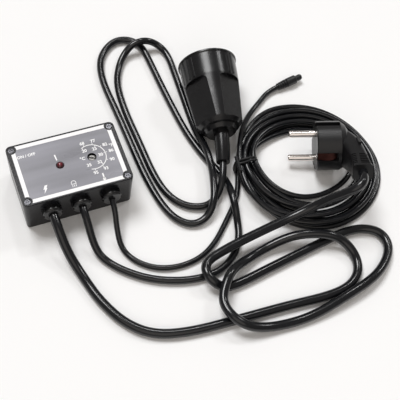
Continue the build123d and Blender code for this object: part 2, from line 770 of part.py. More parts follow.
def plug_pins():
    """Two solid round pins with rounded tips, on narrower roots that the body grips."""
    pin = disc(pin_radius, pin_length - pin_undercut, (0, 0, -pin_length))
    pin = fillet(pin.edges().sort_by(Axis.Z)[0], pin_tip_rounding)
    pin += disc(pin_root_radius, pin_root_depth + pin_undercut - 0.1, (0, 0, -pin_undercut))
    pins = Part() + [Pos(0, side * pin_spacing / 2, 0) * along_x * pin for side in (-1, 1)]
    return plug_frame.location * pins


def plug_earth_strips():
    """The two bowed earth springs in the slots of the plug."""
    length = earth_slot_length - 1.6
    width = earth_slot_width - 0.8
    group = Part()
    bow = earth_slot_depth - 0.6
    for side in (0, 180):
        arch = [
            ThreePointArc((0, 0), (length / 2, bow), (length, 0)),
            Line((length, 0), (length - 1.2, 0)),
            ThreePointArc((length - 1.2, 0), (length / 2, bow - earth_strip_thickness), (1.2, 0)),
            Line((1.2, 0), (0, 0)),
        ]
        strip = extrude(Plane.XZ * make_face(arch), width / 2, both=True)
        group += Rot(side, 0, 0) * Pos(0.4, 0, plug_face_radius - earth_slot_depth) * strip
    return plug_frame.location * group


# The socket's own frame: Z from its back to its mouth
socket_axis = Vector(9.7, 54.5, 5.6).normalized()
socket_frame = Plane(origin=(111.7, 1.0, 16.0), x_dir=(0.985, -0.175, -0.003), z_dir=socket_axis)
socket_roll = -6.0


def body_radius(height):
    """The socket's outer radius at a height above its back."""
    collar = collar_start()
    if height < collar:
        return socket_back_radius + (socket_collar_radius - socket_back_radius) * height / collar
    share = (height - collar) / (socket_length - collar)
    return socket_collar_radius + (socket_front_radius - socket_collar_radius) * share


def collar_start():
    """Height at which the grip ends and the collar round the cup begins."""
    return socket_length - cup_depth - 1.0


def insert_profile(gap):
    """The insert's outline, grown by a gap: a drafted cup on a narrower floor."""
    bottom = socket_length - cup_depth - insert_floor
    step = collar_start() - gap
    back = insert_back_radius + gap
    foot = cup_radius - cup_draft + insert_wall + gap
    mouth = cup_radius + insert_wall + gap
    return [(0, bottom), (back, bottom), (back, step), (foot, step), (mouth, socket_length - 0.6 + 12 * gap)]


def socket_housing():
    """The tapered moulding: a stepped back, four flat grip panels, and ridges on its collar."""
    rim = socket_length - socket_rim_depth
    outer = turned([
        (0, 0), (10.8, 0), (11.4, 1.6), (12.0, 3.0), (14.0, 3.6),
        (body_radius(6.0) - 0.9, 5.6), (body_radius(6.8), 6.8),
        (body_radius(collar_start()), collar_start()), (body_radius(rim), rim - 0.6),
        (socket_rim_radius, rim + 0.2), (socket_rim_radius, socket_length - 0.4),
        (socket_rim_radius - 0.4, socket_length), (0, socket_length),
    ])
    taper = math.degrees(math.atan((socket_collar_radius - socket_back_radius) / collar_start()))
    flat = Pos(body_radius(0) - panel_depth, 0, 0) * Rot(0, taper, 0)
    beyond_flat = flat * block(socket_length, 2 * panel_width, 2 * socket_length, (socket_length / 2, 0, -socket_length / 2))
    panel_length = panel_end - panel_start
    window = extrude(Plane.YZ * RectangleRounded(panel_width, panel_length, panel_corner), socket_length)
    panel_cut = (Pos(panel_depth, 0, (panel_start + panel_end) / 2) * window) & beyond_flat
    ridge_start = panel_end + 1.5
    ridge_end = rim - 0.5
    ridge_radius = body_radius((ridge_start + ridge_end) / 2)
    ridge_angle = math.degrees(ridge_spacing / 2 / ridge_radius)
    lean = math.degrees(math.atan((body_radius(ridge_end) - body_radius(ridge_start)) / (ridge_end - ridge_start)))
    for panel in range(panel_count):
        angle = 90 + socket_roll + 360 / panel_count * (panel + 0.5)
        outer -= Rot(0, 0, angle) * panel_cut
        for side in (-1, 1):
            place = Pos(body_radius(ridge_start) + ridge_height - 1.0, 0, ridge_start) * Rot(0, lean, 0)
            ridge = place * block(2.0, ridge_width, ridge_end - ridge_start)
            outer += Rot(0, 0, angle + side * ridge_angle) * ridge
    bore = turned(insert_profile(insert_gap) + [(0, socket_length)])
    sleeve_room = disc(contact_sleeve_radius + insert_gap, contact_sleeve_length, (0, 0, sleeve_bottom()))
    outer -= bore
    for side in (-1, 1):
        outer -= Rot(0, 0, socket_roll) * Pos(side * pin_spacing / 2, 0, 0) * sleeve_room
    return socket_frame.location * outer


def sleeve_bottom():
    """Height of the contact sleeves' lower ends above the socket's back."""
    return socket_length - cup_depth - insert_floor + 4.0 - contact_sleeve_length


def socket_insert():
    """The hard cup: wall, floor, contact holes, keys and windows for the earth springs."""
    bottom = socket_length - cup_depth - insert_floor
    floor = bottom + insert_floor
    cup = turned(insert_profile(0) + [(0, socket_length - 0.6)])
    hollow = turned([(0, floor), (cup_radius - cup_draft, floor), (cup_radius, socket_length - 0.6), (0, socket_length - 0.6)])
    for side in (-1, 1):
        hollow -= block(3.2, 4.2, cup_depth - 2.0, (side * (cup_radius - 0.4), 0, floor))
    cup -= hollow
    for side in (-1, 1):
        cup -= disc(contact_hole_radius, insert_floor + 1, (side * pin_spacing / 2, 0, bottom - 0.5))
        cup -= disc(contact_sleeve_radius + insert_gap, 4.5, (side * pin_spacing / 2, 0, bottom - 0.5))
        cup -= block(6.4, 4.0, cup_depth - 3.3, (0, side * cup_radius, floor + 0.3))
    return socket_frame.location * Rot(0, 0, socket_roll) * cup


def socket_contacts():
    """Two sleeves behind the holes, slit along their length to spring."""
    group = Part()
    for side in (-1, 1):
        sleeve = disc(contact_sleeve_radius, contact_sleeve_length) - disc(contact_bore_radius, contact_sleeve_length)
        sleeve -= block(4.0, 0.6, contact_sleeve_length - 3.0, (side * 3.0, 0, 3.0))
        group += Pos(side * pin_spacing / 2, 0, sleeve_bottom()) * sleeve
    return socket_frame.location * Rot(0, 0, socket_roll) * group


def socket_earth_springs():
    """The two earth springs that stand in the windows of the cup's wall."""
    length = cup_depth - 4.0
    group = Part()
    bottom = socket_length - cup_depth
    outside = cup_radius - cup_draft + insert_wall - 0.05
    for side in (0, 180):
        spring = [
            ThreePointArc((0, 0), (-1.6, length / 2), (0, length)),
            Line((0, length), (-0.5, length)),
            ThreePointArc((-0.5, length), (-2.1, length / 2), (-0.5, 0)),
            Line((-0.5, 0), (0, 0)),
        ]
        strip = extrude(Plane.XZ * make_face(spring), 2.6, both=True)
        group += Rot(0, 0, 90 + side) * Pos(outside, 0, bottom + 0.3) * strip
    return socket_frame.location * Rot(0, 0, socket_roll) * group


def socket_relief():
    """The tapered sleeve that bends with the cord behind the socket."""
    last, before = Vector(*SOCKET_ROUTE[-1]), Vector(*SOCKET_ROUTE[-2])
    end_direction = (last - before).normalized()
    start = socket_frame.origin
    middle = start - socket_axis * (relief_length * 0.5) + Vector(-1.1, 0, -0.6)
    middle_direction = (end_direction + socket_axis).normalized()
    rings = [
        Plane(origin=start, z_dir=socket_axis) * Circle(relief_radius),
        Plane(origin=middle, z_dir=middle_direction) * Circle((relief_radius + relief_end_radius) / 2),
        Plane(origin=last, z_dir=end_direction) * Circle(relief_end_radius),
    ]
    return loft(rings)


# The sensor's own frame: Z from the cord's end to the tip
probe_start = Vector(*PROBE_FAR_ROUTE[-1])
probe_axis = (probe_start - Vector(*PROBE_FAR_ROUTE[-2])).normalized()
probe_frame = Plane(origin=probe_start, z_dir=probe_axis)


def probe_sleeve():
    """The crimped sleeve, ringed where the cord enters it."""
    profile = [(0, 0), (2.3, 0)]
    ring_pitch = 1.9
    for ring in range(probe_ring_count):
        foot = 0.4 + ring_pitch * ring
        reach = 2.7 + 0.15 * ring
        profile += [(reach, foot), (reach, foot + 1.1), (2.3, foot + 1.3), (2.3, foot + 1.7)]
    body_start = 0.4 + ring_pitch * probe_ring_count
    body_end = probe_length - probe_tip_length
    profile += [(probe_radius - 0.3, body_start), (probe_radius, body_start + 0.5)]
    profile += [(probe_radius, body_end - 0.8), (probe_radius - 0.8, body_end), (0, body_end)]
    return probe_frame.location * turned(profile)


def probe_tip():
    """The narrower sensing tip, which holds the bead."""
    length = probe_tip_length
    tip = turned([
        (0, 0), (probe_tip_radius, 0), (probe_tip_radius, length - 1.2),
        (probe_tip_radius - 0.5, length - 0.3), (probe_tip_radius - 1.2, length), (0, length),
    ])
    tip -= disc(1.25, 3.0)
    return probe_frame.location * Pos(0, 0, probe_length - length) * tip


def probe_bead():
    """The temperature-sensing bead inside the tip."""
    bead = fillet(disc(1.2, 2.9).edges().sort_by(Axis.Z)[-1], 0.6)
    return probe_frame.location * Pos(0, 0, probe_length - probe_tip_length) * bead


def biarc(start, heading, end, end_heading):
    """Two tangent arcs from one point and heading to another."""
    chord = end - start
    both = heading + end_heading
    spare = 2 * (1 - heading.dot(end_heading))
    reach = (math.sqrt(chord.dot(both) ** 2 + spare * chord.dot(chord)) - chord.dot(both)) / spare
    joint = (start + end + (heading - end_heading) * reach) * 0.5
    joint_heading = (end - end_heading * reach) - (start + heading * reach)
    return [TangentArc(start, joint, tangent=heading), TangentArc(joint, end, tangent=joint_heading)]


def coil_exit():
    """Where the coil's top layer ends and the sensor's lead goes on, heading along +Y."""
    return Vector(coil_left, coil_side_y + coil_exit_length, probe_diameter / 2 + coil_layer_rise)


def coil_path():
    """Eight turns: in on the floor, up where they turn back, and out on top."""
    low = probe_diameter / 2
    high = low + coil_layer_rise
    quarters = 8 * coil_turns_in_layer
    middle = quarters // 2
    headings = [Vector(0, 1, 0), Vector(1, 0, 0), Vector(0, -1, 0), Vector(-1, 0, 0)]
    entry_heading = (Vector(*PROBE_NEAR_ROUTE[-1]) - Vector(*PROBE_NEAR_ROUTE[-2])).normalized()
    entry = Vector(*PROBE_NEAR_ROUTE[-1])
    point = entry + entry_heading * probe_diameter
    heading = entry_heading
    path = [Line(entry, point)]
    for quarter in range(1, quarters + 1):
        depth = min(quarter, quarters - quarter) / 4
        side = quarter % 4
        height = low if quarter < middle else high
        places = [
            (coil_left + coil_left_pitch * depth, coil_side_y),
            (coil_middle_x, coil_top - coil_top_pitch * depth),
            (coil_right - coil_right_pitch * depth, coil_side_y),
            (coil_middle_x, coil_bottom + coil_bottom_pitch * depth),
        ]
        next_heading = headings[side]
        if quarter == middle:
            height = (low + high) / 2
            climb = coil_layer_rise / math.pi / 45
            next_heading = Vector(0, 1, climb).normalized()
        next_point = Vector(*places[side], height)
        path += biarc(point, heading, next_point, next_heading)
        point, heading = next_point, next_heading
    path.append(Line(point, coil_exit()))
    return path


def least_gap(path, step, skip, diameter):
    """The smallest gap between turns, measured on points along the path."""
    points = []
    travelled = 0.0
    for edge in path:
        count = max(2, round(edge.length / step))
        for part in range(count):
            place = edge @ (part / count)
            points.append((place.X, place.Y, place.Z, travelled + edge.length * part / count))
        travelled += edge.length
    least = math.inf
    for index, (x, y, z, here) in enumerate(points):
        for other_x, other_y, other_z, there in points[index + 1:]:
            if there - here > skip and abs(other_x - x) < 8:
                least = min(least, math.dist((x, y, z), (other_x, other_y, other_z)))
    return least - diameter, travelled


def probe_coil():
    """The coil of the probe lead, one unbroken tube."""
    path = coil_path()
    gap, length = least_gap(path, 2.0, 40.0, probe_diameter)
    wire = Wire(path)
    start = Plane(origin=path[0] @ 0, z_dir=path[0] % 0)
    tube = sweep(start * Circle(probe_diameter / 2), path=wire)
    ratio = tube.volume / (math.pi * probe_diameter**2 / 4 * length)
    print(f"probe coil: length {length:.0f}, least gap to itself {gap:.2f}, volume ratio {ratio:.4f}")
    return tube


def coil_tie():
    """A wire tie: two wires round the strands, and their twisted ends lying on the bundle."""
    group = Part()
    top = probe_diameter + coil_layer_rise + tie_wire_radius + 0.4
    foot = tie_wire_radius
    for side in (-1, 1):
        y = tie_y + side * 1.3
        points = [
            (tie_right, y, foot), (tie_right, y, top - 1.6), (tie_right - 3.2, y, top),
            (tie_left + 3.2, y, top), (tie_left, y, top - 2), (tie_left, y, foot),
        ]
        path = FilletPolyline(*points, radius=[1.4, 1.8, 1.8, 1.4])
        start = Plane(origin=points[0], z_dir=path % 0)
        group += sweep(start * Circle(tie_wire_radius), path=path)
    pair = Pos(tie_wire_radius * 0.8, 0) * Circle(tie_wire_radius) + Pos(-tie_wire_radius * 0.8, 0) * Circle(tie_wire_radius)
    twist = Solid.extrude_linear_with_rotation(pair.face(), (0, 0, 0), (0, 0, tie_twist_length), 900)
    lying = Plane(origin=(tie_left + 2.2, tie_y - 4.8, top + 1.5), z_dir=(0.32, 0.94, 0.04))
    return group + lying.location * twist


parts["base_shell"] = base_shell()
parts["lid"] = lid()
parts["lid_label"] = lid_label()
parts["lid_screws"] = lid_screws()
parts["circuit_board"] = circuit_board()
parts["board_screws"] = board_screws()
parts["indicator_lamp"] = indicator_lamp()
parts["lamp_spacer"] = lamp_spacer()
parts["lamp_legs"] = lamp_legs()
parts["potentiometer_base"] = potentiometer_base()
parts["resistance_track"] = resistance_track()
parts["potentiometer_cover"] = potentiometer_cover()
parts["wiper_disc"] = wiper_disc()
parts["dial_spindle"] = dial_spindle()
parts["terminal_blocks"] = terminal_blocks()
parts["terminal_screws"] = terminal_screws()
parts["lead_cores"] = lead_cores()
parts["choke_core"] = choke_core()
parts["choke_winding"] = choke_winding()
parts["film_capacitor"] = film_capacitor()
parts["smoothing_capacitor"] = smoothing_capacitor()
parts["control_chip"] = control_chip()
parts["fuse_tube"] = fuse_tube()
parts["fuse_caps"] = fuse_caps()
parts["fuse_clips"] = fuse_clips()
parts["heat_sink"] = heat_sink()
parts["triac"] = triac()
parts["triac_screw"] = triac_screw()
parts["small_resistors"] = small_resistors()
for name, (x, diameter) in glands.items():
    parts[f"gland_{name}"] = gland(x, diameter)
plug_entry = plug_frame.from_local_coords((28.0, 0, grip_length))
before_plug = plug_frame.from_local_coords((28.0, 0, grip_length + 9.0))
mains_route = from_gland("mains", 17.0, MAINS_ROUTE) + [tuple(before_plug), tuple(plug_entry)]
socket_route = from_gland("socket", 16.0, SOCKET_ROUTE)
probe_near_route = from_gland("probe", 14.0, PROBE_NEAR_ROUTE)
coil_end = coil_exit()
probe_far_route = [tuple(coil_end), tuple(coil_end + Vector(0, far_lead_run, 0))] + PROBE_FAR_ROUTE
parts["mains_lead"] = cord("mains lead", mains_route, mains_diameter)
parts["plug_body"] = plug_body()
parts["plug_pins"] = plug_pins()
parts["plug_earth_strips"] = plug_earth_strips()
parts["socket_lead"] = cord("socket lead", socket_route, socket_lead_diameter)
parts["socket_relief"] = socket_relief()
parts["socket_housing"] = socket_housing()
parts["socket_insert"] = socket_insert()
parts["socket_contacts"] = socket_contacts()
parts["socket_earth_springs"] = socket_earth_springs()
parts["probe_lead_near"] = cord("probe lead, near", probe_near_route, probe_diameter)
parts["probe_coil"] = probe_coil()
parts["probe_lead_far"] = cord("probe lead, far", probe_far_route, probe_diameter)
parts["probe_sleeve"] = probe_sleeve()
parts["probe_tip"] = probe_tip()
parts["probe_bead"] = probe_bead()
parts["coil_tie"] = coil_tie()

os.makedirs("parts", exist_ok=True)
for name, shape in parts.items():
    export_step(shape, f"parts/{name}.step")
print(len(parts), "nodes")
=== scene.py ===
"""Dresses a dimmer thermostat: its control box, three leads, angled plug, trailing socket and sensor."""

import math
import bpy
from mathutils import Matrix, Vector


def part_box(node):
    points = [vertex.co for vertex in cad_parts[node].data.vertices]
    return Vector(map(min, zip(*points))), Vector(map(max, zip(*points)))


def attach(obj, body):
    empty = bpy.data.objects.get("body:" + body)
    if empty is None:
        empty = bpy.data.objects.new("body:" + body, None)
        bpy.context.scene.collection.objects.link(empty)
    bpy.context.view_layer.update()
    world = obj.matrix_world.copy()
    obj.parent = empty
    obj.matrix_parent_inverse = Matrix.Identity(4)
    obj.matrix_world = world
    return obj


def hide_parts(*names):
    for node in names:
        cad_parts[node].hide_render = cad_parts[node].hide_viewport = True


bl_info = {
    "name": "Dimmer thermostat dressing",
    "version": (1, 0, 0),
    "blender": (4, 5, 0),
    "location": "3D View > Sidebar > Thermostat",
    "description": "Leads, printed label, tie, finishes and stage for a dimmer thermostat",
    "category": "Object",
}

import bmesh
import bpy
from mathutils import Matrix, Vector

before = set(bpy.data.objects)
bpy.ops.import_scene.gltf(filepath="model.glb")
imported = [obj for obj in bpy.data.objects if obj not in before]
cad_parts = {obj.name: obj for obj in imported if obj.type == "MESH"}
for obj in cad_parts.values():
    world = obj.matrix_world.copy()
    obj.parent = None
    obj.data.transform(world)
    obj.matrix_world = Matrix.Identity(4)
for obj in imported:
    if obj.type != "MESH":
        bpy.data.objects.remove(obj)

MM = 0.001
CASE_BODY = "case"
DIAL_CENTRE = Vector((0.0156, 0.0, 0.0))
CHOKE_CENTRE = Vector((-0.0223, 0.0035, 0.0))
# The label's film lies flush with the lid, and its print stands just clear of it.
PRINT_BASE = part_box("lid")[1].z + 0.00001
PRINT_THICKNESS = 0.00003

# The leads' routes: the control points of their splines, in millimetres.
MAINS_ROUTE = [
    (-19.5, -19, 18.5), (-19.5, -36, 18.5), (-17.5, -52.5, 8.5), (-12.5, -70, 3.2),
    (-7, -90, 3.2), (3.5, -110, 3.2), (19, -123, 3.2), (43, -128.5, 3.2),
    (74, -130, 3.2), (109, -131.5, 3.2), (138, -134, 3.2), (155, -132, 3.2),
    (165, -124.5, 3.2), (168.5, -114, 3.2), (165.5, -103, 6), (156, -95, 11),
    (136, -88.5, 11), (122, -87, 7), (106, -89, 3.6), (91, -94, 6),
    (80.5, -99, 11.6), (72.5, -107.5, 11.8), (67, -116.5, 10.4), (67, -125.5, 11.4),
    (71.5, -134.5, 11.4), (80.5, -140, 7), (97, -143, 3.2), (121, -144, 3.2),
    (148, -138.9, 6.6), (172, -132.8, 7), (187, -123, 4.6), (195, -112, 3.2),
    (193.5, -101.5, 3.2), (184, -95, 3.2), (169, -93, 3.2), (143, -97, 3.2),
    (108, -102.5, 3.2), (88, -106, 3.2), (77.5, -106.8, 3.2), (71, -105.6, 5.2),
    (65.8, -101.8, 9.4), (63.8, -95.5, 10.4), (65.6, -89.5, 9.6), (70.8, -86, 9.2),
    (78, -84.3, 10), (87, -82.5, 10.8), (98, -80.5, 11.2), (114, -78.5, 13),
    (133, -76.5, 14.6), (146, -76, 19), (156, -77, 26.5), (165.5, -80, 35.5),
    (174, -82, 43), (180.74, -77.94, 44.22), (183.89, -70.67, 39.86),
]
SOCKET_ROUTE = [
    (0.5, -19, 18.5), (0.5, -35, 18.5), (0.5, -50, 8), (3, -60, 2.6),
    (13, -73, 2.6), (30, -86, 2.6), (52, -94, 2.6), (72, -95, 2.6),
    (87, -88, 2.6), (97, -75, 2.6), (100.5, -62, 3.6), (102, -52, 8.2),
    (103.5, -42, 8.2), (105, -32, 3.4), (102.8, -21, 2.6), (96.5, -4, 2.6),
    (92, 17, 2.6), (90, 42, 2.6), (88.7, 67, 2.6), (88, 88, 2.6),
    (87, 101.5, 2.6), (80, 110.5, 2.6), (69, 112.5, 2.6), (58.5, 106, 2.6),
    (51, 95, 2.6), (48, 77, 2.6), (49.5, 50, 2.6), (50.5, 16, 2.6),
    (51.5, -12, 2.6), (55, -35, 2.6), (60.5, -48.5, 2.6), (70, -56, 2.6),
    (81, -54.5, 4.2), (89, -46, 9.6), (93.5, -33, 10.4), (97.5, -19, 8.6),
    (99.3, -5, 8.4), (99.4, 7.5, 5), (99.2, 20, 2.6), (100.8, 44, 2.6),
    (102.5, 70, 2.6), (103.5, 87, 2.6), (100, 97, 4), (91, 101, 9.4),
    (80, 101, 9.4), (71.5, 97, 4.6), (64, 88, 2.6), (57, 72, 2.6),
    (55.5, 47, 2.6), (56.8, 18, 2.6), (57.4, -9, 2.6), (61, -28, 2.6),
    (69.5, -40, 2.6), (81.5, -45, 2.6), (91, -42.8, 3.2), (97, -37, 7),
    (102.2, -28.9, 10.9), (105.4, -19.8, 11.8),
]
PROBE_ROUTE_IN = [
    (21, -19, 18.5), (21, -33, 18.5), (18.5, -46, 8), (18, -58, 2), (24, -70, 2),
    (36, -79, 2), (51, -82.5, 2), (67, -80.5, 2), (80.5, -72.5, 2), (93, -60, 2),
    (106.4, -46, 2), (112.4, -34.5, 2), (117, -22, 2), (124.6, -7, 2),
    (135.6, 5.6, 2), (148.6, 15, 2),
]
PROBE_ROUTE_OUT = [
    (118.8, -18.5, 9.8), (123.4, -7.8, 9.6), (129.6, 3.2, 8), (136.4, 12, 5),
    (145, 20, 3), (154, 26.4, 2.4), (164.8, 33.85, 2.8), (173, 35.11, 3.35),
]
# The coil's turns, in millimetres: the top, rightmost, bottom and leftmost places of
# each. Three columns of three pass under the tie, and the rest fans out.
COIL_MIDDLE = (165.0, -38.0)
COIL_STEPS = 4  # in each quarter of a turn
COIL_PLACES = [
    (164, 17.6, 2), (217.2, -41, 2), (167, -86.4, 2), (120.4, -38, 2),
    (165, 10.6, 2), (213.2, -41, 2), (166, -80.8, 2), (121.4, -30, 6.2),
    (165, 5.4, 2), (209.2, -41, 2), (166, -74.8, 2), (125.2, -27, 2),
    (165, 0.6, 2), (205.2, -40, 2), (165, -67.6, 2), (127.2, -22, 6.2),
    (165, -4.4, 2), (201.2, -36, 2), (164, -60.6, 2), (128.4, -25, 10.2),
    (165, 1.2, 6), (205.6, -40, 5.8), (165, -71.2, 5.8), (121, -29, 10.2),
    (165, 6, 6), (209.8, -41, 5.8), (166, -77.8, 5.8), (115.4, -36, 6),
    (165, 10.8, 6), (214, -41, 5.8), (166, -84, 5.8), (114.8, -37, 9.9),
]

# The tie goes round the bundle here; its loop is (x, spread of the two wires, z).
TIE_PLACE = -23.5
TIE_HALF_GAP = 1.1
TIE_LOOP = [
    (129.2, 0.0, 0.8), (130.2, 0.2, 4), (130.2, 0.1, 9), (129, 0, 12.4), (124, 0, 12.9),
    (119, 0.3, 12.9), (116, 0, 12.9), (113.9, 0, 11.6), (113.6, 0, 7), (113.8, 0, 3), (114.4, 0, 0.8),
]
# From here its two ends are twisted together; the lay is a share of the wires' radius.
TWIST_PLACE = (114.4, -30.6, 12.4)
TWIST_DIRECTION = (0.1, 0.99, 0.04)
TWIST_TURNS = 3.5
TWIST_LENGTH = 0.0115
TWIST_LAY = 0.85

# The label's print, in millimetres from the middle of the lid, and in degrees.
# The border's outer edges, and whether each runs up the lid's short side.
BORDER_EDGES = [(22.5, False), (-22.5, False), (34.6, True), (-34.6, True)]
BORDER_SCREW = (34.0, 20.5)
BORDER_CUT_RADIUS = 3.5
BORDER_STEPS = 6
SCALE_ANGLES = (121, -108)
SCALE_WIDTH = 0.55
# Rows of strokes on the scale: distance from its arc, first angle, step and count.
STROKE_ROWS = [(0.6, 105.7, -33.4, 7), (-0.6, 118.0, -57.0, 4)]
STROKE_LENGTH = 0.0013
STROKE_WIDTH = 0.00045
FIGURES = [
    ("68", 12.3, 11.9), ("77", 19.9, 11.9), ("82", 26.8, 6.9), ("86", 29.4, 1.2), ("90", 28.0, -5.6),
    ("93", 22.0, -11.2), ("95", 14.6, -12.6), ("20", 12.2, 5.9), ("25", 19.2, 5.6), ("30", 21.7, 0.0),
    ("32", 19.4, -5.4), ("35", 12.0, -5.7), ("°F", 30.6, 5.2), ("°C", 9.2, 0.3),
]
CORNER_WORD = ("ON / OFF", -25.6, 13.4)
CORNER_WORD_SHARE = 0.9  # of the figures' height
CAPITAL_SHARE = 0.7  # a capital's height, of the font's size
LETTER_WEIGHT = 0.00009
LETTER_RELIEF = 0.00001

# Suns: the direction that each shines from, its width in degrees, its colour, and the
# property that holds its strength.
PLAIN_LIGHT = (1.0, 1.0, 1.0)
WARM_LIGHT = (1.0, 0.93, 0.86)
ROOM_COLOUR = (1.0, 0.95, 0.9, 1.0)
LIGHTS = [
    ("overhead_light", (-0.16, 0.42, 0.89), 24.0, PLAIN_LIGHT, "key_strength"),
    ("strip_light", (0.26, 0.52, 0.81), 6.0, PLAIN_LIGHT, "strip_strength"),
    ("side_light", (0.66, 0.25, 0.71), 8.0, PLAIN_LIGHT, "side_strength"),
    ("fill_light", (-0.3, -0.55, 0.78), 60.0, WARM_LIGHT, "fill_strength"),
]
FLOOR_SIZE = 40
FLOOR_HEIGHT = -0.00002

# The camera, fitted to the box and the plug; its focal length is in the photo's pixels.
CAMERA_PLACE = (-0.07676, -0.30202, 0.53298)
CAMERA_RIGHT = (0.92964, -0.35407, 0.10205)
CAMERA_UP = (0.26257, 0.83083, 0.4907)
CAMERA_FORWARD = (0.25852, 0.42938, -0.86533)
CAMERA_SENSOR = 36.0
FOCAL_PIXELS = 879.05
PHOTO_PIXELS = 400.0


# Node graphs


class Value:
    """A node's output that takes Python's arithmetic; each operation adds a Math node."""

    def __init__(self, graph, socket):
        self.graph = graph
        self.socket = socket

    def _math(self, operation, *operands):
        return self.graph.node("ShaderNodeMath", {"operation": operation}, dict(enumerate(operands)))

    def __add__(self, other):
        return self._math("ADD", self, other)

    def __radd__(self, other):
        return self._math("ADD", other, self)

    def __sub__(self, other):
        return self._math("SUBTRACT", self, other)

    def __mul__(self, other):
        return self._math("MULTIPLY", self, other)

    def __lt__(self, other):
        return self._math("LESS_THAN", self, other)

# A colour mix has its colours in these inputs and its result in this output.
MIX_LOW, MIX_HIGH, MIX_RESULT = 6, 7, 2


class Graph:
    """A node tree that is written one call per node."""

    def __init__(self, tree):
        self.tree = tree

    def node(self, kind, settings=None, inputs=None, out=0):
        """Adds a node, sets it, feeds its sockets with values or links, and returns one output."""
        node = self.tree.nodes.new(kind)
        for key, value in (settings or {}).items():
            setattr(node, key, value)
        for key, value in (inputs or {}).items():
            if isinstance(value, Value):
                self.tree.links.new(value.socket, node.inputs[key])
            else:
                node.inputs[key].default_value = value
        return Value(self, node.outputs[out]) if node.outputs else node

    def object_place(self, scale=(1, 1, 1), turn=(0, 0, 0), shift=(0, 0, 0)):
        """Object coordinates, moved, turned and scaled."""
        place = self.node("ShaderNodeTexCoord", out="Object")
        inputs = {"Vector": place, "Location": shift, "Rotation": turn, "Scale": scale}
        return self.node("ShaderNodeMapping", {}, inputs)

    def noise(self, place, per_metre, detail=2.0, roughness=0.5):
        """Cloudy noise with this many waves per metre."""
        inputs = {"Vector": place, "Scale": per_metre, "Detail": detail, "Roughness": roughness}
        return self.node("ShaderNodeTexNoise", {}, inputs)

    def mix_colour(self, factor, low, high):
        """Goes from one colour to another as the factor grows."""
        inputs = {"Factor": factor, MIX_LOW: low, MIX_HIGH: high}
        return self.node("ShaderNodeMix", {"data_type": "RGBA"}, inputs, out=MIX_RESULT)

    def tones(self, factor, colour, low, high):
        """Goes from one shade of a colour to another as the factor grows."""
        return self.mix_colour(factor, shade(colour, low), shade(colour, high))

    def bump(self, height, depth, strength, normal=None):
        """Relief of this depth in metres, on top of other relief if there is some."""
        inputs = {"Height": height, "Distance": depth, "Strength": strength}
        if normal is not None:
            inputs["Normal"] = normal
        return self.node("ShaderNodeBump", {}, inputs)

    def places(self, count):
        """As many points as asked for, all at the origin."""
        return self.node("GeometryNodeMeshLine", {"mode": "OFFSET"}, {"Count": count, "Offset": (0, 0, 0)})

    def instances(self, points, piece, angle):
        """A piece on each point, turned about Z."""
        turn = self.node("ShaderNodeCombineXYZ", {}, {"Z": angle})
        turn = self.node("FunctionNodeEulerToRotation", {}, {0: turn})
        inputs = {"Points": points, "Instance": piece, "Rotation": turn}
        return self.node("GeometryNodeInstanceOnPoints", {}, inputs)


def new_finish(name):
    """An empty material and its graph."""
    material = bpy.data.materials.new(name)
    material.use_nodes = True
    material.node_tree.nodes.clear()
    return material, Graph(material.node_tree)


def close_finish(graph, inputs):
    """Ends a material in one principled surface."""
    surface = graph.node("ShaderNodeBsdfPrincipled", {}, inputs)
    graph.node("ShaderNodeOutputMaterial", {}, {"Surface": surface})


def shade(colour, factor):
    """A colour made darker or lighter."""
    return tuple(min(1.0, channel * factor) for channel in colour[:3]) + (1.0,)


def swing(noise, width):
    """A noise moved to swing about zero, this far from end to end."""
    return (noise - 0.5) * width


# Finishes


def moulded_plastic(name, colour, roughness, grain, grain_size=0.0004, gloss=0.5):
    """Moulded plastic or rubber: a spark-eroded grain, faint mottling and handling marks."""
    material, graph = new_finish(name)
    place = graph.object_place()
    fine = graph.noise(place, 1.0 / grain_size, detail=3.0, roughness=0.6)
    broad = graph.noise(place, per_metre=55.0, detail=3.0, roughness=0.55)
    close_finish(graph, {
        "Base Color": graph.tones(broad, colour, 0.8, 1.2),
        "Roughness": roughness + swing(broad, 0.16) + swing(fine, 0.06),
        "Specular IOR Level": gloss,
        "Normal": graph.bump(fine, depth=grain, strength=0.8),
    })
    return material


def cord_sheath(name, colour, roughness, wave):
    """Soft black sheath: a drawn skin with slow waves from the cores inside, and dusty patches."""
    material, graph = new_finish(name)
    place = graph.object_place()
    slow = graph.noise(place, 1.0 / wave)
    skin = graph.noise(place, per_metre=2600.0, roughness=0.6)
    dust = graph.noise(place, per_metre=40.0, detail=4.0, roughness=0.6)
    skin_relief = graph.bump(skin, depth=0.00002, strength=0.6)
    close_finish(graph, {
        "Base Color": graph.tones(dust, colour, 0.82, 1.35),
        "Roughness": roughness + swing(dust, 0.12) + swing(skin, 0.06),
        "Normal": graph.bump(slow, depth=0.00022, strength=0.5, normal=skin_relief),
    })
    return material


def bright_metal(name, colour, roughness, drawn=(1, 1, 1), marks_per_metre=900.0):
    """Plated or bare metal with fine drawing marks and slightly duller patches."""
    material, graph = new_finish(name)
    marks = graph.noise(graph.object_place(scale=drawn), marks_per_metre, detail=3.0, roughness=0.6)
    patches = graph.noise(graph.object_place(), per_metre=160.0, detail=3.0, roughness=0.6)
    close_finish(graph, {
        "Base Color": graph.tones(patches, colour, 0.86, 1.05),
        "Metallic": 1.0,
        "Roughness": roughness + swing(patches, 0.16) + swing(marks, 0.14),
        "Normal": graph.bump(marks, depth=0.00002, strength=0.5),
    })
    return material


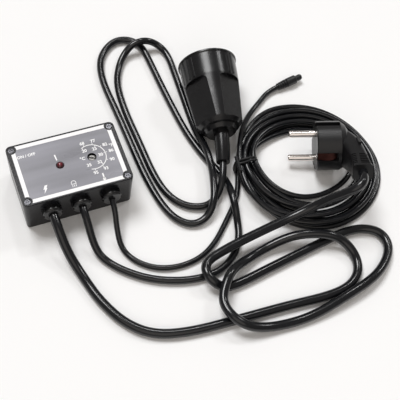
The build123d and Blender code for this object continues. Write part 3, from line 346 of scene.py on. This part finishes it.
def label_film(name, colour):
    """Glossy grey print under a clear film, with slow waves in the film and a few lighter bands that are a
    painted reflection of the lights.
    """
    material, graph = new_finish(name)
    slow = graph.noise(graph.object_place(scale=(0.5, 1.6, 1)), per_metre=60.0)
    bands = graph.noise(graph.object_place(scale=(0.12, 1, 1), turn=(0, 0, 0.2)), per_metre=70.0)
    specks = graph.noise(graph.object_place(), per_metre=3500.0)
    # the stretched lighter bands are a painted reflection of the lights; the specks are the film's grain
    streaks = swing(bands, 2.6) + specks * 0.2 + 0.4
    close_finish(graph, {
        "Base Color": graph.tones(streaks, colour, 0.72, 1.42),
        "Roughness": 0.3 + swing(slow, 0.2),
        "Coat Weight": 0.15,
        "Coat Roughness": 0.12,
        "Normal": graph.bump(slow, depth=0.0004, strength=0.25),
    })
    return material


def print_ink(name, colour):
    """White ink, a little uneven in its cover."""
    material, graph = new_finish(name)
    cover = graph.noise(graph.object_place(), per_metre=2400.0)
    tone = graph.tones(cover, colour, 0.94, 1.02)
    close_finish(graph, {"Base Color": tone, "Roughness": 0.34 + swing(cover, 0.1)})
    return material


def lamp_lens(name, colour):
    """Tinted lens of the indicator, with a painted highlight at the top of its dome and painted shade
    growing darker away from it.
    """
    material, graph = new_finish(name)
    low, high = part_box("indicator_lamp")
    middle = (low + high) / 2
    place = graph.object_place(shift=(-middle.x, -middle.y, -high.z))
    away = graph.node("ShaderNodeVectorMath", {"operation": "LENGTH"}, {0: place}, out="Value")
    # painted light: the base colour is lighter at the dome's top as a painted highlight, and darker away
    # from it as painted shade
    painted_shade_per_metre = 420.0
    swirl = graph.noise(graph.object_place(), per_metre=900.0)
    close_finish(graph, {
        "Base Color": graph.tones(away * painted_shade_per_metre, colour, 1.2, 0.25),
        "Roughness": 0.12 + swing(swirl, 0.08),
        "Coat Weight": 0.8,
        "Coat Roughness": 0.03,
        "Transmission Weight": 0.25,
    })
    return material


def board_laminate(name, colour):
    """Circuit board: woven glass under lacquer, with a faint grid of tracks."""
    material, graph = new_finish(name)
    weave = graph.node("ShaderNodeTexWave", {"wave_type": "BANDS", "bands_direction": "DIAGONAL"},
                       {"Vector": graph.object_place(), "Scale": 420.0, "Distortion": 1.5})
    edges = graph.node("ShaderNodeTexVoronoi", {"feature": "DISTANCE_TO_EDGE"},
                       {"Vector": graph.object_place(), "Scale": 130.0})
    track_width = 0.06
    laminate = graph.tones(weave, colour, 0.8, 1.2)
    close_finish(graph, {
        "Base Color": graph.mix_colour(edges < track_width, laminate, shade(colour, 0.45)),
        "Roughness": 0.4,
        "Normal": graph.bump(weave, depth=0.00003, strength=0.4),
    })
    return material


def wound_wire(name, colour):
    """Enamelled winding: fine bands round the ring."""
    material, graph = new_finish(name)
    bands = graph.node("ShaderNodeTexWave", {"wave_type": "RINGS", "rings_direction": "Z"},
                       {"Vector": graph.object_place(shift=-CHOKE_CENTRE), "Scale": 320.0})
    close_finish(graph, {
        "Base Color": graph.tones(bands, colour, 0.4, 1.2),
        "Metallic": 0.7,
        "Roughness": 0.35,
        "Normal": graph.bump(bands, depth=0.0002, strength=0.8),
    })
    return material


def clear_glass(name, colour):
    """Clear glass tube with faint streaks along it."""
    material, graph = new_finish(name)
    streaks = graph.noise(graph.object_place(scale=(0.2, 1, 1)), per_metre=500.0)
    close_finish(graph, {
        "Base Color": shade(colour, 1.0),
        "Roughness": 0.05 + swing(streaks, 0.04),
        "Transmission Weight": 0.9,
        "Alpha": 0.5,
    })
    return material


# Each finish: what makes it, its material's name, and its colour or the property that holds it.
FINISHES = {
    "label": (label_film, "label_film", "label_colour"),
    "ink": (print_ink, "white_ink", "ink_colour"),
    "lens": (lamp_lens, "red_lens", "lamp_colour"),
    "board": (board_laminate, "board_laminate", (0.3, 0.21, 0.09)),
    "copper": (wound_wire, "copper_wire", (0.55, 0.2, 0.07)),
    "glass": (clear_glass, "clear_glass", (0.9, 0.94, 0.94)),
    # then the roughness, and the length of the waves in metres
    "cord": (cord_sheath, "cord_sheath", "cord_colour", 0.17, 0.02),
    # then the roughness, the depth and size of the grain in metres, and the gloss
    "case": (moulded_plastic, "case_plastic", "case_colour", 0.24, 0.00003, 0.0003, 0.25),
    "gland": (moulded_plastic, "gland_rubber", "rubber_colour", 0.22, 0.00002, 0.0005, 0.6),
    "plug": (moulded_plastic, "plug_moulding", "plug_colour", 0.34, 0.00005, 0.00045, 0.4),
    "socket": (moulded_plastic, "socket_moulding", "plug_colour", 0.24, 0.00003, 0.00045, 0.4),
    "insert": (moulded_plastic, "insert_plastic", "case_colour", 0.5, 0.00003),
    "probe": (moulded_plastic, "probe_moulding", "cord_colour", 0.38, 0.00004),
    "tie": (moulded_plastic, "tie_sleeve", "cord_colour", 0.4, 0.00003),
    "black": (moulded_plastic, "black_plastic", (0.02, 0.02, 0.022), 0.4, 0.00002),
    "blue": (moulded_plastic, "blue_plastic", (0.03, 0.11, 0.4), 0.34, 0.00002),
    "green": (moulded_plastic, "green_plastic", (0.03, 0.27, 0.09), 0.42, 0.00002),
    "core": (moulded_plastic, "core_sheath", (0.16, 0.08, 0.04), 0.4, 0.00002),
    "ferrite": (moulded_plastic, "ferrite", (0.11, 0.11, 0.11), 0.6, 0.00006, 0.0002),
    "carbon": (moulded_plastic, "carbon_film", (0.03, 0.03, 0.03), 0.6, 0.00004, 0.0002),
    "chip": (moulded_plastic, "chip_black", (0.025, 0.025, 0.027), 0.5, 0.00004, 0.0002),
    "resistor": (moulded_plastic, "resistor_body", (0.56, 0.42, 0.26), 0.3, 0.00002),
    # then the roughness, the stretch of the drawing marks, and how many there are per metre
    "screw": (bright_metal, "black_screw", (0.11, 0.11, 0.12), 0.22, (1, 1, 1), 1800.0),
    "spindle": (bright_metal, "spindle_metal", (0.16, 0.155, 0.15), 0.3, (1, 1, 1), 1500.0),
    "nickel": (bright_metal, "nickel_plate", (0.86, 0.81, 0.78), 0.18, (1, 4, 4), 600.0),
    # the earth strips: brown metal whose colour is painted dark, a painted dark reflection of what
    # surrounds them
    "dull": (bright_metal, "dull_strip", (0.07, 0.028, 0.024), 0.4, (1, 4, 4), 600.0),
    "aluminium": (bright_metal, "aluminium_can", (0.76, 0.76, 0.77), 0.34, (1, 1, 0.1), 700.0),
    "steel": (bright_metal, "zinc_steel", (0.6, 0.6, 0.6), 0.28),
    "brass": (bright_metal, "brass", (0.78, 0.57, 0.26), 0.26),
    "tin": (bright_metal, "tinned_wire", (0.7, 0.7, 0.7), 0.22),
}
MADE_FINISHES = {}

# The finish of each solid of the part that stays to be seen.
CASE_SOLIDS = {
    "base_shell": "case",
    "lid": "case",
    "lid_label": "label",
    "lid_screws": "screw",
    "indicator_lamp": "lens",
    "dial_spindle": "spindle",
    "gland_mains": "gland",
    "gland_socket": "gland",
    "gland_probe": "gland",
}
INSIDE_SOLIDS = {
    "circuit_board": "board",
    "board_screws": "steel",
    "lamp_spacer": "black",
    "lamp_legs": "tin",
    "potentiometer_base": "blue",
    "potentiometer_cover": "blue",
    "resistance_track": "carbon",
    "wiper_disc": "brass",
    "terminal_blocks": "green",
    "terminal_screws": "steel",
    "lead_cores": "core",
    "choke_core": "ferrite",
    "choke_winding": "copper",
    "film_capacitor": "blue",
    "smoothing_capacitor": "aluminium",
    "control_chip": "chip",
    "fuse_tube": "glass",
    "fuse_caps": "tin",
    "fuse_clips": "brass",
    "heat_sink": "aluminium",
    "triac": "chip",
    "triac_screw": "steel",
    "small_resistors": "resistor",
}
END_SOLIDS = {
    "plug_body": "plug",
    "plug_pins": "nickel",
    # brown metal painted dark, as a painted dark reflection
    "plug_earth_strips": "dull",
    "socket_relief": "socket",
    "socket_housing": "socket",
    "socket_insert": "insert",
    "socket_contacts": "brass",
    "socket_earth_springs": "nickel",
    "probe_sleeve": "probe",
    "probe_tip": "probe",
    "probe_bead": "carbon",
}


def finish(name):
    """The material of a finish; it is made the first time that it is asked for."""
    if name not in MADE_FINISHES:
        maker, material_name, colour, *settings = FINISHES[name]
        if isinstance(colour, str):
            colour = getattr(bpy.context.scene.thermostat_finishes, colour)
        MADE_FINISHES[name] = maker(material_name, colour, *settings)
    return MADE_FINISHES[name]


def dress(solids):
    """Gives solids of the part their finishes."""
    for node, name in solids.items():
        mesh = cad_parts[node].data
        mesh.materials.clear()
        mesh.materials.append(finish(name))


# Geometry


def link(obj):
    """Puts an object in the scene."""
    bpy.context.scene.collection.objects.link(obj)
    return obj


def plain_mesh(obj, name):
    """A plain mesh of an object as it looks with its modifiers."""
    bpy.context.view_layer.update()
    graph = bpy.context.evaluated_depsgraph_get()
    mesh = bpy.data.meshes.new_from_object(obj.evaluated_get(graph))
    mesh.name = name
    return mesh


def add_piece(name, mesh, finish_name, body=CASE_BODY):
    """A new piece at the origin, on a body, with one finish."""
    obj = link(bpy.data.objects.new(name, mesh))
    mesh.materials.clear()
    mesh.materials.append(finish(finish_name))
    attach(obj, body)
    return obj


def joined(meshes, name):
    """One mesh from several, which are removed."""
    work = bmesh.new()
    for mesh in meshes:
        work.from_mesh(mesh)
        bpy.data.meshes.remove(mesh)
    result = bpy.data.meshes.new(name)
    work.to_mesh(result)
    work.free()
    return result


def round_tube(name, route, diameter, finish_name, smooth):
    """A round tube on one smooth spline whose control points are the route."""
    curve = bpy.data.curves.new(name, "CURVE")
    curve.dimensions = "3D"
    spline = curve.splines.new("NURBS")
    spline.points.add(len(route) - 1)
    for point, place in zip(spline.points, route):
        point.co = (place[0] * MM, place[1] * MM, place[2] * MM, 1.0)
    spline.order_u = 3
    spline.use_endpoint_u = True
    curve.resolution_u = smooth
    curve.bevel_depth = diameter / 2
    curve.bevel_resolution = 6
    curve.use_fill_caps = True
    curve.materials.append(finish(finish_name))
    return link(bpy.data.objects.new(name, curve))


def lay_cord(name, route, diameter):
    """A cord of the set: it stays a curve."""
    cord = round_tube(name, route, diameter, "cord", smooth=6)
    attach(cord, CASE_BODY)
    return cord


def coil_turns():
    """The coil's control points: a quarter of an oval, in even steps, between each two places."""
    step_angle = math.pi / 2 / COIL_STEPS
    # the spline cuts inside its control points, so they stand a little further out
    outward = 1 / math.cos(step_angle / 2)
    middle_x, middle_y = COIL_MIDDLE
    points = []
    for number, (start, end) in enumerate(zip(COIL_PLACES, COIL_PLACES[1:])):
        for step in range(COIL_STEPS):
            early, late = math.sin(step_angle * step), 1 - math.cos(step_angle * step)
            # a turn climbs just before the tie and comes down over the quarter after it
            parts = (early, late, late) if number % 2 == 0 else (late, early, late)
            x, y, z = (low + (high - low) * part for low, high, part in zip(start, end, parts))
            points.append((middle_x + (x - middle_x) * outward, middle_y + (y - middle_y) * outward, z))
    return points + [COIL_PLACES[-1]]


def lettering(text, height, x, y):
    """Printed characters as a thin mesh, centred on a place of the label in millimetres."""
    curve = bpy.data.curves.new("letters", "FONT")
    curve.body = text
    curve.size = height / CAPITAL_SHARE
    curve.align_x = "CENTER"
    curve.align_y = "CENTER"
    curve.offset = LETTER_WEIGHT
    curve.extrude = LETTER_RELIEF
    curve.resolution_u = 3
    obj = link(bpy.data.objects.new("letters", curve))
    mesh = plain_mesh(obj, "letters")
    mesh.transform(Matrix.Translation((x * MM, y * MM, PRINT_BASE)))
    bpy.data.objects.remove(obj)
    bpy.data.curves.remove(curve)
    return mesh


def flat_shape(outlines):
    """Thin printed areas on the label, from closed outlines of (x, y) in millimetres."""
    work = bmesh.new()
    for outline in outlines:
        face = work.faces.new([work.verts.new((x * MM, y * MM, PRINT_BASE)) for x, y in outline])
        raised = bmesh.ops.extrude_face_region(work, geom=[face])["geom"]
        top = [part for part in raised if isinstance(part, bmesh.types.BMVert)]
        bmesh.ops.translate(work, vec=(0, 0, PRINT_THICKNESS), verts=top)
    bmesh.ops.recalc_face_normals(work, faces=work.faces)
    mesh = bpy.data.meshes.new("flat_shape")
    work.to_mesh(mesh)
    work.free()
    return mesh


def arc_band(centre, radius, width, start, end, steps=48):
    """The outline of a curved band, in millimetres and degrees."""
    angles = [math.radians(start + (end - start) * step / steps) for step in range(steps + 1)]
    inner, outer = radius - width / 2, radius + width / 2
    rim = [(centre[0] + outer * math.cos(a), centre[1] + outer * math.sin(a)) for a in angles]
    back = [(centre[0] + inner * math.cos(a), centre[1] + inner * math.sin(a)) for a in reversed(angles)]
    return rim + back


def border_strip(edge, width, upright):
    """One strip of the white border, whose ends are hollowed round the screws."""
    inner = edge - math.copysign(width, edge)
    reach, across = reversed(BORDER_SCREW) if upright else BORDER_SCREW
    levels = [edge + (inner - edge) * step / BORDER_STEPS for step in range(BORDER_STEPS + 1)]
    strip = []
    for sign, row in ((1, levels), (-1, reversed(levels))):
        for level in row:
            gap = math.sqrt(max(0.0, BORDER_CUT_RADIUS**2 - (abs(level) - across) ** 2))
            along = sign * (reach - max(gap, BORDER_CUT_RADIUS / 2))
            strip.append((level, along) if upright else (along, level))
    return strip


def lead_symbols():
    """The outlines of the lamp's stroke and of the three leads' symbols."""
    lamp_stroke = [(-8.2, 8.6), (-7.2, 8.8), (-6.9, 4.2), (-7.7, 4.1)]
    flash = [
        (-20.3, -12.1), (-18.4, -12.1), (-19.7, -14.3), (-18.9, -14.3), (-21.9, -18.0),
        (-20.9, -15.0), (-21.9, -15.0),
    ]
    probe = [
        arc_band((18.5, -18.6), 0.55, 1.1, 0, 345, 18),
        [(18.0, -18.2), (19.0, -18.2), (19.0, -14.2), (18.0, -14.2)],
    ]
    heater = [
        arc_band((-1.8, -15.6), 1.5, 0.4, 200, -20, 20),
        [(-3.6, -16.3), (0.0, -16.3), (0.0, -16.7), (-3.6, -16.7)],
    ]
    rays = [
        [(x - 0.2, -17.2), (x + 0.2, -17.2), (x + 0.2, -18.8), (x - 0.2, -18.8)]
        for x in (-3.0, -1.8, -0.6)
    ]
    return [lamp_stroke, flash] + probe + heater + rays


def run_tree(name, tree, values):
    """Runs a geometry tree on an empty mesh with its inputs set, and returns the plain mesh."""
    holder = link(bpy.data.objects.new(name, bpy.data.meshes.new(name)))
    modifier = holder.modifiers.new(name, "NODES")
    modifier.node_group = tree
    for item in tree.interface.items_tree:
        if item.item_type == "SOCKET" and item.in_out == "INPUT" and item.name in values:
            modifier[item.identifier] = values[item.name]
    mesh = plain_mesh(holder, name)
    holder.modifiers.clear()
    bpy.data.objects.remove(holder)
    return mesh


def new_tree(name, inputs):
    """A geometry tree with named inputs: (name, kind, default)."""
    tree = bpy.data.node_groups.new(name, "GeometryNodeTree")
    for label, kind, default in inputs:
        socket = tree.interface.new_socket(label, in_out="INPUT", socket_type=kind)
        if default is not None:
            socket.default_value = default
    tree.interface.new_socket("Geometry", in_out="OUTPUT", socket_type="NodeSocketGeometry")
    graph = Graph(tree)
    group_input = tree.nodes.new("NodeGroupInput")
    sockets = {label: Value(graph, group_input.outputs[label]) for label, _, _ in inputs}
    return tree, graph, sockets


def end_tree(graph, geometry, material):
    """Ends a tree in real geometry with its material."""
    real = graph.node("GeometryNodeRealizeInstances", {}, {"Geometry": geometry})
    done = graph.node("GeometryNodeSetMaterial", {}, {"Geometry": real, "Material": material})
    graph.node("NodeGroupOutput", {}, {"Geometry": done})


def dial_stroke_tree():
    """Short strokes at even steps round a centre."""
    tree, graph, given = new_tree("dial_ticks", [
        ("Count", "NodeSocketInt", 7),
        ("Radius", "NodeSocketFloat", 0.0105),
        ("First angle", "NodeSocketFloat", 1.84),
        ("Step", "NodeSocketFloat", -0.58),
        ("Length", "NodeSocketFloat", 0.0014),
        ("Width", "NodeSocketFloat", 0.0004),
        ("Centre", "NodeSocketVector", (0, 0, 0)),
        ("Material", "NodeSocketMaterial", None),
    ])
    angle = given["First angle"] + graph.node("GeometryNodeInputIndex") * given["Step"]
    across = graph.node("ShaderNodeMath", {"operation": "COSINE"}, {0: angle}) * given["Radius"]
    up = graph.node("ShaderNodeMath", {"operation": "SINE"}, {0: angle}) * given["Radius"]
    offset = graph.node("ShaderNodeCombineXYZ", {}, {"X": across, "Y": up})
    place = graph.node("ShaderNodeVectorMath", {"operation": "ADD"}, {0: offset, 1: given["Centre"]})
    points = graph.node("GeometryNodeSetPosition", {}, {
        "Geometry": graph.places(given["Count"]),
        "Position": place,
    })
    size = {"X": given["Length"], "Y": given["Width"], "Z": PRINT_THICKNESS}
    stroke = graph.node("GeometryNodeMeshCube", {}, {"Size": graph.node("ShaderNodeCombineXYZ", {}, size)})
    end_tree(graph, graph.instances(points, stroke, angle), given["Material"])
    return tree


def twisted_pair_tree():
    """Two wires twisted round each other, along +Z from the origin."""
    tree, graph, given = new_tree("twisted_pair", [
        ("Turns", "NodeSocketFloat", 3.0),
        ("Length", "NodeSocketFloat", 0.011),
        ("Lay radius", "NodeSocketFloat", 0.0007),
        ("Wire radius", "NodeSocketFloat", 0.0007),
        ("Material", "NodeSocketMaterial", None),
    ])
    spiral = graph.node("GeometryNodeCurveSpiral", {}, {
        "Resolution": 18,
        "Rotations": given["Turns"],
        "Start Radius": given["Lay radius"],
        "End Radius": given["Lay radius"],
        "Height": given["Length"],
    })
    section = {"Resolution": 14, "Radius": given["Wire radius"]}
    wire = graph.node("GeometryNodeCurveToMesh", {}, {
        "Curve": spiral,
        "Profile Curve": graph.node("GeometryNodeCurvePrimitiveCircle", {}, section),
        "Fill Caps": True,
    })
    half_turns = graph.node("GeometryNodeInputIndex") * math.pi
    end_tree(graph, graph.instances(graph.places(2), wire, half_turns), given["Material"])
    return tree


# Sizes and colours that a user would change


def length_property(label, words, default):
    """A length in metres."""
    return bpy.props.FloatProperty(
        name=label, description=words, default=default, unit="LENGTH", subtype="DISTANCE", precision=5)


def colour_property(label, words, default):
    """A colour as linear red, green and blue."""
    return bpy.props.FloatVectorProperty(
        name=label, description=words, default=default, subtype="COLOR", size=3, min=0, max=1)


def light_property(label, words, default):
    """The strength of a light."""
    return bpy.props.FloatProperty(name=label, description=words, default=default)


class ThermostatSizes(bpy.types.PropertyGroup):
    mains_diameter: length_property(
        "Mains lead", "Outside diameter of the lead to the plug", 0.0064)
    socket_diameter: length_property(
        "Socket lead", "Outside diameter of the lead to the trailing socket", 0.0052)
    probe_diameter: length_property(
        "Sensor lead", "Outside diameter of the sensor's lead", 0.0039)
    tie_wire: length_property(
        "Tie wire", "Diameter of each wire of the tie", 0.0016)
    scale_radius: length_property(
        "Scale radius", "Radius of the printed arc round the dial", 0.0096)
    figure_height: length_property(
        "Figure height", "Height of the figures round the dial", 0.0023)
    border_width: length_property(
        "Border width", "Width of the label's white border", 0.0027)


class ThermostatFinishes(bpy.types.PropertyGroup):
    case_colour: colour_property(
        "Case", "Colour of the box and its lid", (0.007, 0.007, 0.009))
    label_colour: colour_property(
        "Label", "Colour of the label's field", (0.19, 0.19, 0.22))
    ink_colour: colour_property(
        "Ink", "Colour of the print on the label", (0.93, 0.93, 0.94))
    lamp_colour: colour_property(
        "Lamp", "Colour of the indicator's lens", (0.22, 0.006, 0.022))
    rubber_colour: colour_property(
        "Bushings", "Colour of the lead bushings", (0.008, 0.008, 0.009))
    plug_colour: colour_property(
        "Plug and socket", "Colour of the plug and of the trailing socket", (0.007, 0.007, 0.008))
    cord_colour: colour_property(
        "Leads", "Colour of the leads' sheaths", (0.006, 0.0065, 0.008))


class ThermostatStage(bpy.types.PropertyGroup):
    key_strength: light_property(
        "Overhead light", "Strength of the broad light from above, in W/m2", 1.8)
    strip_strength: light_property(
        "Strip light", "Strength of the narrow light behind, in W/m2", 0.28)
    side_strength: light_property(
        "Side light", "Strength of the light from the right, in W/m2", 0.32)
    fill_strength: light_property(
        "Fill light", "Strength of the broad light from the front, in W/m2", 0.58)
    room_strength: light_property(
        "Room light", "Strength of the light from all sides", 0.24)
    floor_colour: colour_property(
        "Floor", "Colour of the floor", (0.95, 0.955, 0.962))


# Operators


class THERMOSTAT_OT_mains_lead(bpy.types.Operator):
    """Lay the mains lead from its bushing to the angled plug"""

    bl_idname = "thermostat.mains_lead"
    bl_label = "Mains lead"

    def execute(self, context):
        diameter = context.scene.thermostat_sizes.mains_diameter
        lead = lay_cord("mains_cord", MAINS_ROUTE, diameter)
        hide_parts("mains_lead")
        return {"FINISHED"}


class THERMOSTAT_OT_socket_lead(bpy.types.Operator):
    """Lay the lead from its bushing to the trailing socket"""

    bl_idname = "thermostat.socket_lead"
    bl_label = "Socket lead"

    def execute(self, context):
        diameter = context.scene.thermostat_sizes.socket_diameter
        lead = lay_cord("socket_cord", SOCKET_ROUTE, diameter)
        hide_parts("socket_lead")
        return {"FINISHED"}


class THERMOSTAT_OT_sensor_lead(bpy.types.Operator):
    """Lay the sensor's lead from its bushing, through the coil, to the sensor"""

    bl_idname = "thermostat.sensor_lead"
    bl_label = "Sensor lead and coil"

    def execute(self, context):
        diameter = context.scene.thermostat_sizes.probe_diameter
        lead = lay_cord("sensor_cord", PROBE_ROUTE_IN + coil_turns() + PROBE_ROUTE_OUT, diameter)
        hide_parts("probe_lead_near", "probe_coil", "probe_lead_far")
        return {"FINISHED"}


class THERMOSTAT_OT_coil_tie(bpy.types.Operator):
    """Wind the wire tie round the coil and twist its ends"""

    bl_idname = "thermostat.coil_tie"
    bl_label = "Coil tie"

    def execute(self, context):
        diameter = context.scene.thermostat_sizes.tie_wire
        meshes = []
        for side in (-1, 1):
            y = TIE_PLACE + side * TIE_HALF_GAP
            loop = [(x, y + side * spread, z) for x, spread, z in TIE_LOOP]
            wire = round_tube("tie_wire", loop, diameter, "tie", smooth=8)
            meshes.append(plain_mesh(wire, "tie_wire"))
            bpy.data.objects.remove(wire)
        twist = run_tree("twist", twisted_pair_tree(), {
            "Turns": TWIST_TURNS,
            "Length": TWIST_LENGTH,
            "Lay radius": diameter / 2 * TWIST_LAY,
            "Wire radius": diameter / 2,
            "Material": finish("tie"),
        })
        place = Matrix.Translation(Vector(TWIST_PLACE) * MM)
        direction = Vector(TWIST_DIRECTION).normalized()
        twist.transform(place @ direction.to_track_quat("Z", "Y").to_matrix().to_4x4())
        meshes.append(twist)
        tie = add_piece("wire_tie", joined(meshes, "wire_tie"), "tie")
        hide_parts("coil_tie")
        return {"FINISHED"}


class THERMOSTAT_OT_label_print(bpy.types.Operator):
    """Print the label: border, dial scale, figures and lead symbols"""

    bl_idname = "thermostat.label_print"
    bl_label = "Label print"

    def execute(self, context):
        sizes = context.scene.thermostat_sizes
        border = sizes.border_width / MM
        scale = sizes.scale_radius / MM
        dial = (DIAL_CENTRE.x / MM, DIAL_CENTRE.y / MM)
        meshes = [flat_shape([border_strip(edge, border, upright)]) for edge, upright in BORDER_EDGES]
        meshes.append(flat_shape([arc_band(dial, scale, SCALE_WIDTH, *SCALE_ANGLES)]))
        strokes = dial_stroke_tree()
        for distance, first, step, count in STROKE_ROWS:
            meshes.append(run_tree("ticks", strokes, {
                "Count": count,
                "Radius": (scale + distance) * MM,
                "First angle": math.radians(first),
                "Step": math.radians(step),
                "Length": STROKE_LENGTH,
                "Width": STROKE_WIDTH,
                "Centre": DIAL_CENTRE + Vector((0, 0, PRINT_BASE + PRINT_THICKNESS / 2)),
                "Material": finish("ink"),
            }))
        for text, x, y in FIGURES:
            meshes.append(lettering(text, sizes.figure_height, x, y))
        text, x, y = CORNER_WORD
        meshes.append(lettering(text, sizes.figure_height * CORNER_WORD_SHARE, x, y))
        meshes.append(flat_shape(lead_symbols()))
        add_piece("label_print", joined(meshes, "label_print"), "ink")
        return {"FINISHED"}


class THERMOSTAT_OT_case_finish(bpy.types.Operator):
    """Finish the box, its lid, label, screws, lamp, dial and bushings"""

    bl_idname = "thermostat.case_finish"
    bl_label = "Case finishes"

    def execute(self, context):
        dress(CASE_SOLIDS)
        return {"FINISHED"}


class THERMOSTAT_OT_inside_finish(bpy.types.Operator):
    """Finish the circuit board and all that stands on it"""

    bl_idname = "thermostat.inside_finish"
    bl_label = "Inside finishes"

    def execute(self, context):
        dress(INSIDE_SOLIDS)
        return {"FINISHED"}


class THERMOSTAT_OT_end_finish(bpy.types.Operator):
    """Finish the plug, the trailing socket and the sensor"""

    bl_idname = "thermostat.end_finish"
    bl_label = "Plug, socket and sensor finishes"

    def execute(self, context):
        dress(END_SOLIDS)
        return {"FINISHED"}


class THERMOSTAT_OT_stage(bpy.types.Operator):
    """Set up the floor, the lights, the room and the camera"""

    bl_idname = "thermostat.stage"
    bl_label = "Stage"

    def execute(self, context):
        scene = context.scene
        stage = scene.thermostat_stage
        scene.view_settings.view_transform = "Standard"
        self.add_floor(stage)
        self.add_lights(scene, stage)
        self.add_camera(scene)
        return {"FINISHED"}

    def add_floor(self, stage):
        """A wide pale floor just under the part."""
        bpy.ops.mesh.primitive_plane_add(size=FLOOR_SIZE, location=(0, 0, FLOOR_HEIGHT))
        floor = bpy.context.active_object
        floor.name = "floor"
        material, graph = new_finish("floor_paint")
        grain = graph.noise(graph.object_place(), per_metre=30.0, detail=3.0, roughness=0.6)
        tone = graph.tones(grain, stage.floor_colour, 0.995, 1.005)
        close_finish(graph, {"Base Color": tone, "Roughness": 0.8, "Specular IOR Level": 0.0})
        floor.data.materials.append(material)

    def add_lights(self, scene, stage):
        """Four soft suns and an even light from the room."""
        for name, direction, angle, colour, strength in LIGHTS:
            lamp = bpy.data.lights.new(name, "SUN")
            lamp.angle = math.radians(angle)
            lamp.color = colour
            lamp.energy = getattr(stage, strength)
            obj = link(bpy.data.objects.new(name, lamp))
            obj.rotation_euler = Vector(direction).to_track_quat("Z", "Y").to_euler()
        world = bpy.data.worlds.new("room")
        world.use_nodes = True
        world.node_tree.nodes.clear()
        graph = Graph(world.node_tree)
        room = {"Color": ROOM_COLOUR, "Strength": stage.room_strength}
        background = graph.node("ShaderNodeBackground", {}, room)
        graph.node("ShaderNodeOutputWorld", {}, {"Surface": background})
        scene.world = world

    def add_camera(self, scene):
        """The camera from which the photo was taken."""
        camera = bpy.data.cameras.new("camera")
        camera.sensor_width = CAMERA_SENSOR
        camera.lens = CAMERA_SENSOR * FOCAL_PIXELS / PHOTO_PIXELS
        camera.clip_start = 0.01
        obj = link(bpy.data.objects.new("camera", camera))
        axes = (Vector(CAMERA_RIGHT), Vector(CAMERA_UP), -Vector(CAMERA_FORWARD))
        obj.matrix_world = Matrix.Translation(CAMERA_PLACE) @ Matrix(axes).transposed().to_4x4()
        scene.camera = obj


OPERATORS = [
    THERMOSTAT_OT_stage,
    THERMOSTAT_OT_case_finish,
    THERMOSTAT_OT_inside_finish,
    THERMOSTAT_OT_end_finish,
    THERMOSTAT_OT_label_print,
    THERMOSTAT_OT_mains_lead,
    THERMOSTAT_OT_socket_lead,
    THERMOSTAT_OT_coil_tie,
    THERMOSTAT_OT_sensor_lead,
]


class THERMOSTAT_PT_panel(bpy.types.Panel):
    """Lists the thermostat's pieces, sizes and colours"""

    bl_idname = "THERMOSTAT_PT_panel"
    bl_label = "Dimmer thermostat"
    bl_space_type = "VIEW_3D"
    bl_region_type = "UI"
    bl_category = "Thermostat"

    def draw(self, context):
        for setting in GROUPS:
            group = getattr(context.scene, setting)
            box = self.layout.box()
            for name in group.bl_rna.properties.keys():
                if name not in ("rna_type", "name"):
                    box.prop(group, name)
        for operator in OPERATORS:
            self.layout.operator(operator.bl_idname)


GROUPS = {
    "thermostat_sizes": ThermostatSizes,
    "thermostat_finishes": ThermostatFinishes,
    "thermostat_stage": ThermostatStage,
}


def register():
    """Makes the settings, the operators and the panel known to Blender."""
    for group in GROUPS.values():
        bpy.utils.register_class(group)
    for name, group in GROUPS.items():
        setattr(bpy.types.Scene, name, bpy.props.PointerProperty(type=group))
    for operator in OPERATORS:
        bpy.utils.register_class(operator)
    bpy.utils.register_class(THERMOSTAT_PT_panel)


def unregister():
    """Takes them away again."""
    bpy.utils.unregister_class(THERMOSTAT_PT_panel)
    for operator in reversed(OPERATORS):
        bpy.utils.unregister_class(operator)
    for name in GROUPS:
        delattr(bpy.types.Scene, name)
    for group in reversed(list(GROUPS.values())):
        bpy.utils.unregister_class(group)


def main():
    """Dresses the part, one operator after another."""
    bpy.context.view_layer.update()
    register()
    for operator in OPERATORS:
        category, name = operator.bl_idname.split(".")
        getattr(getattr(bpy.ops, category), name)()


if __name__ == "__main__":
    main()
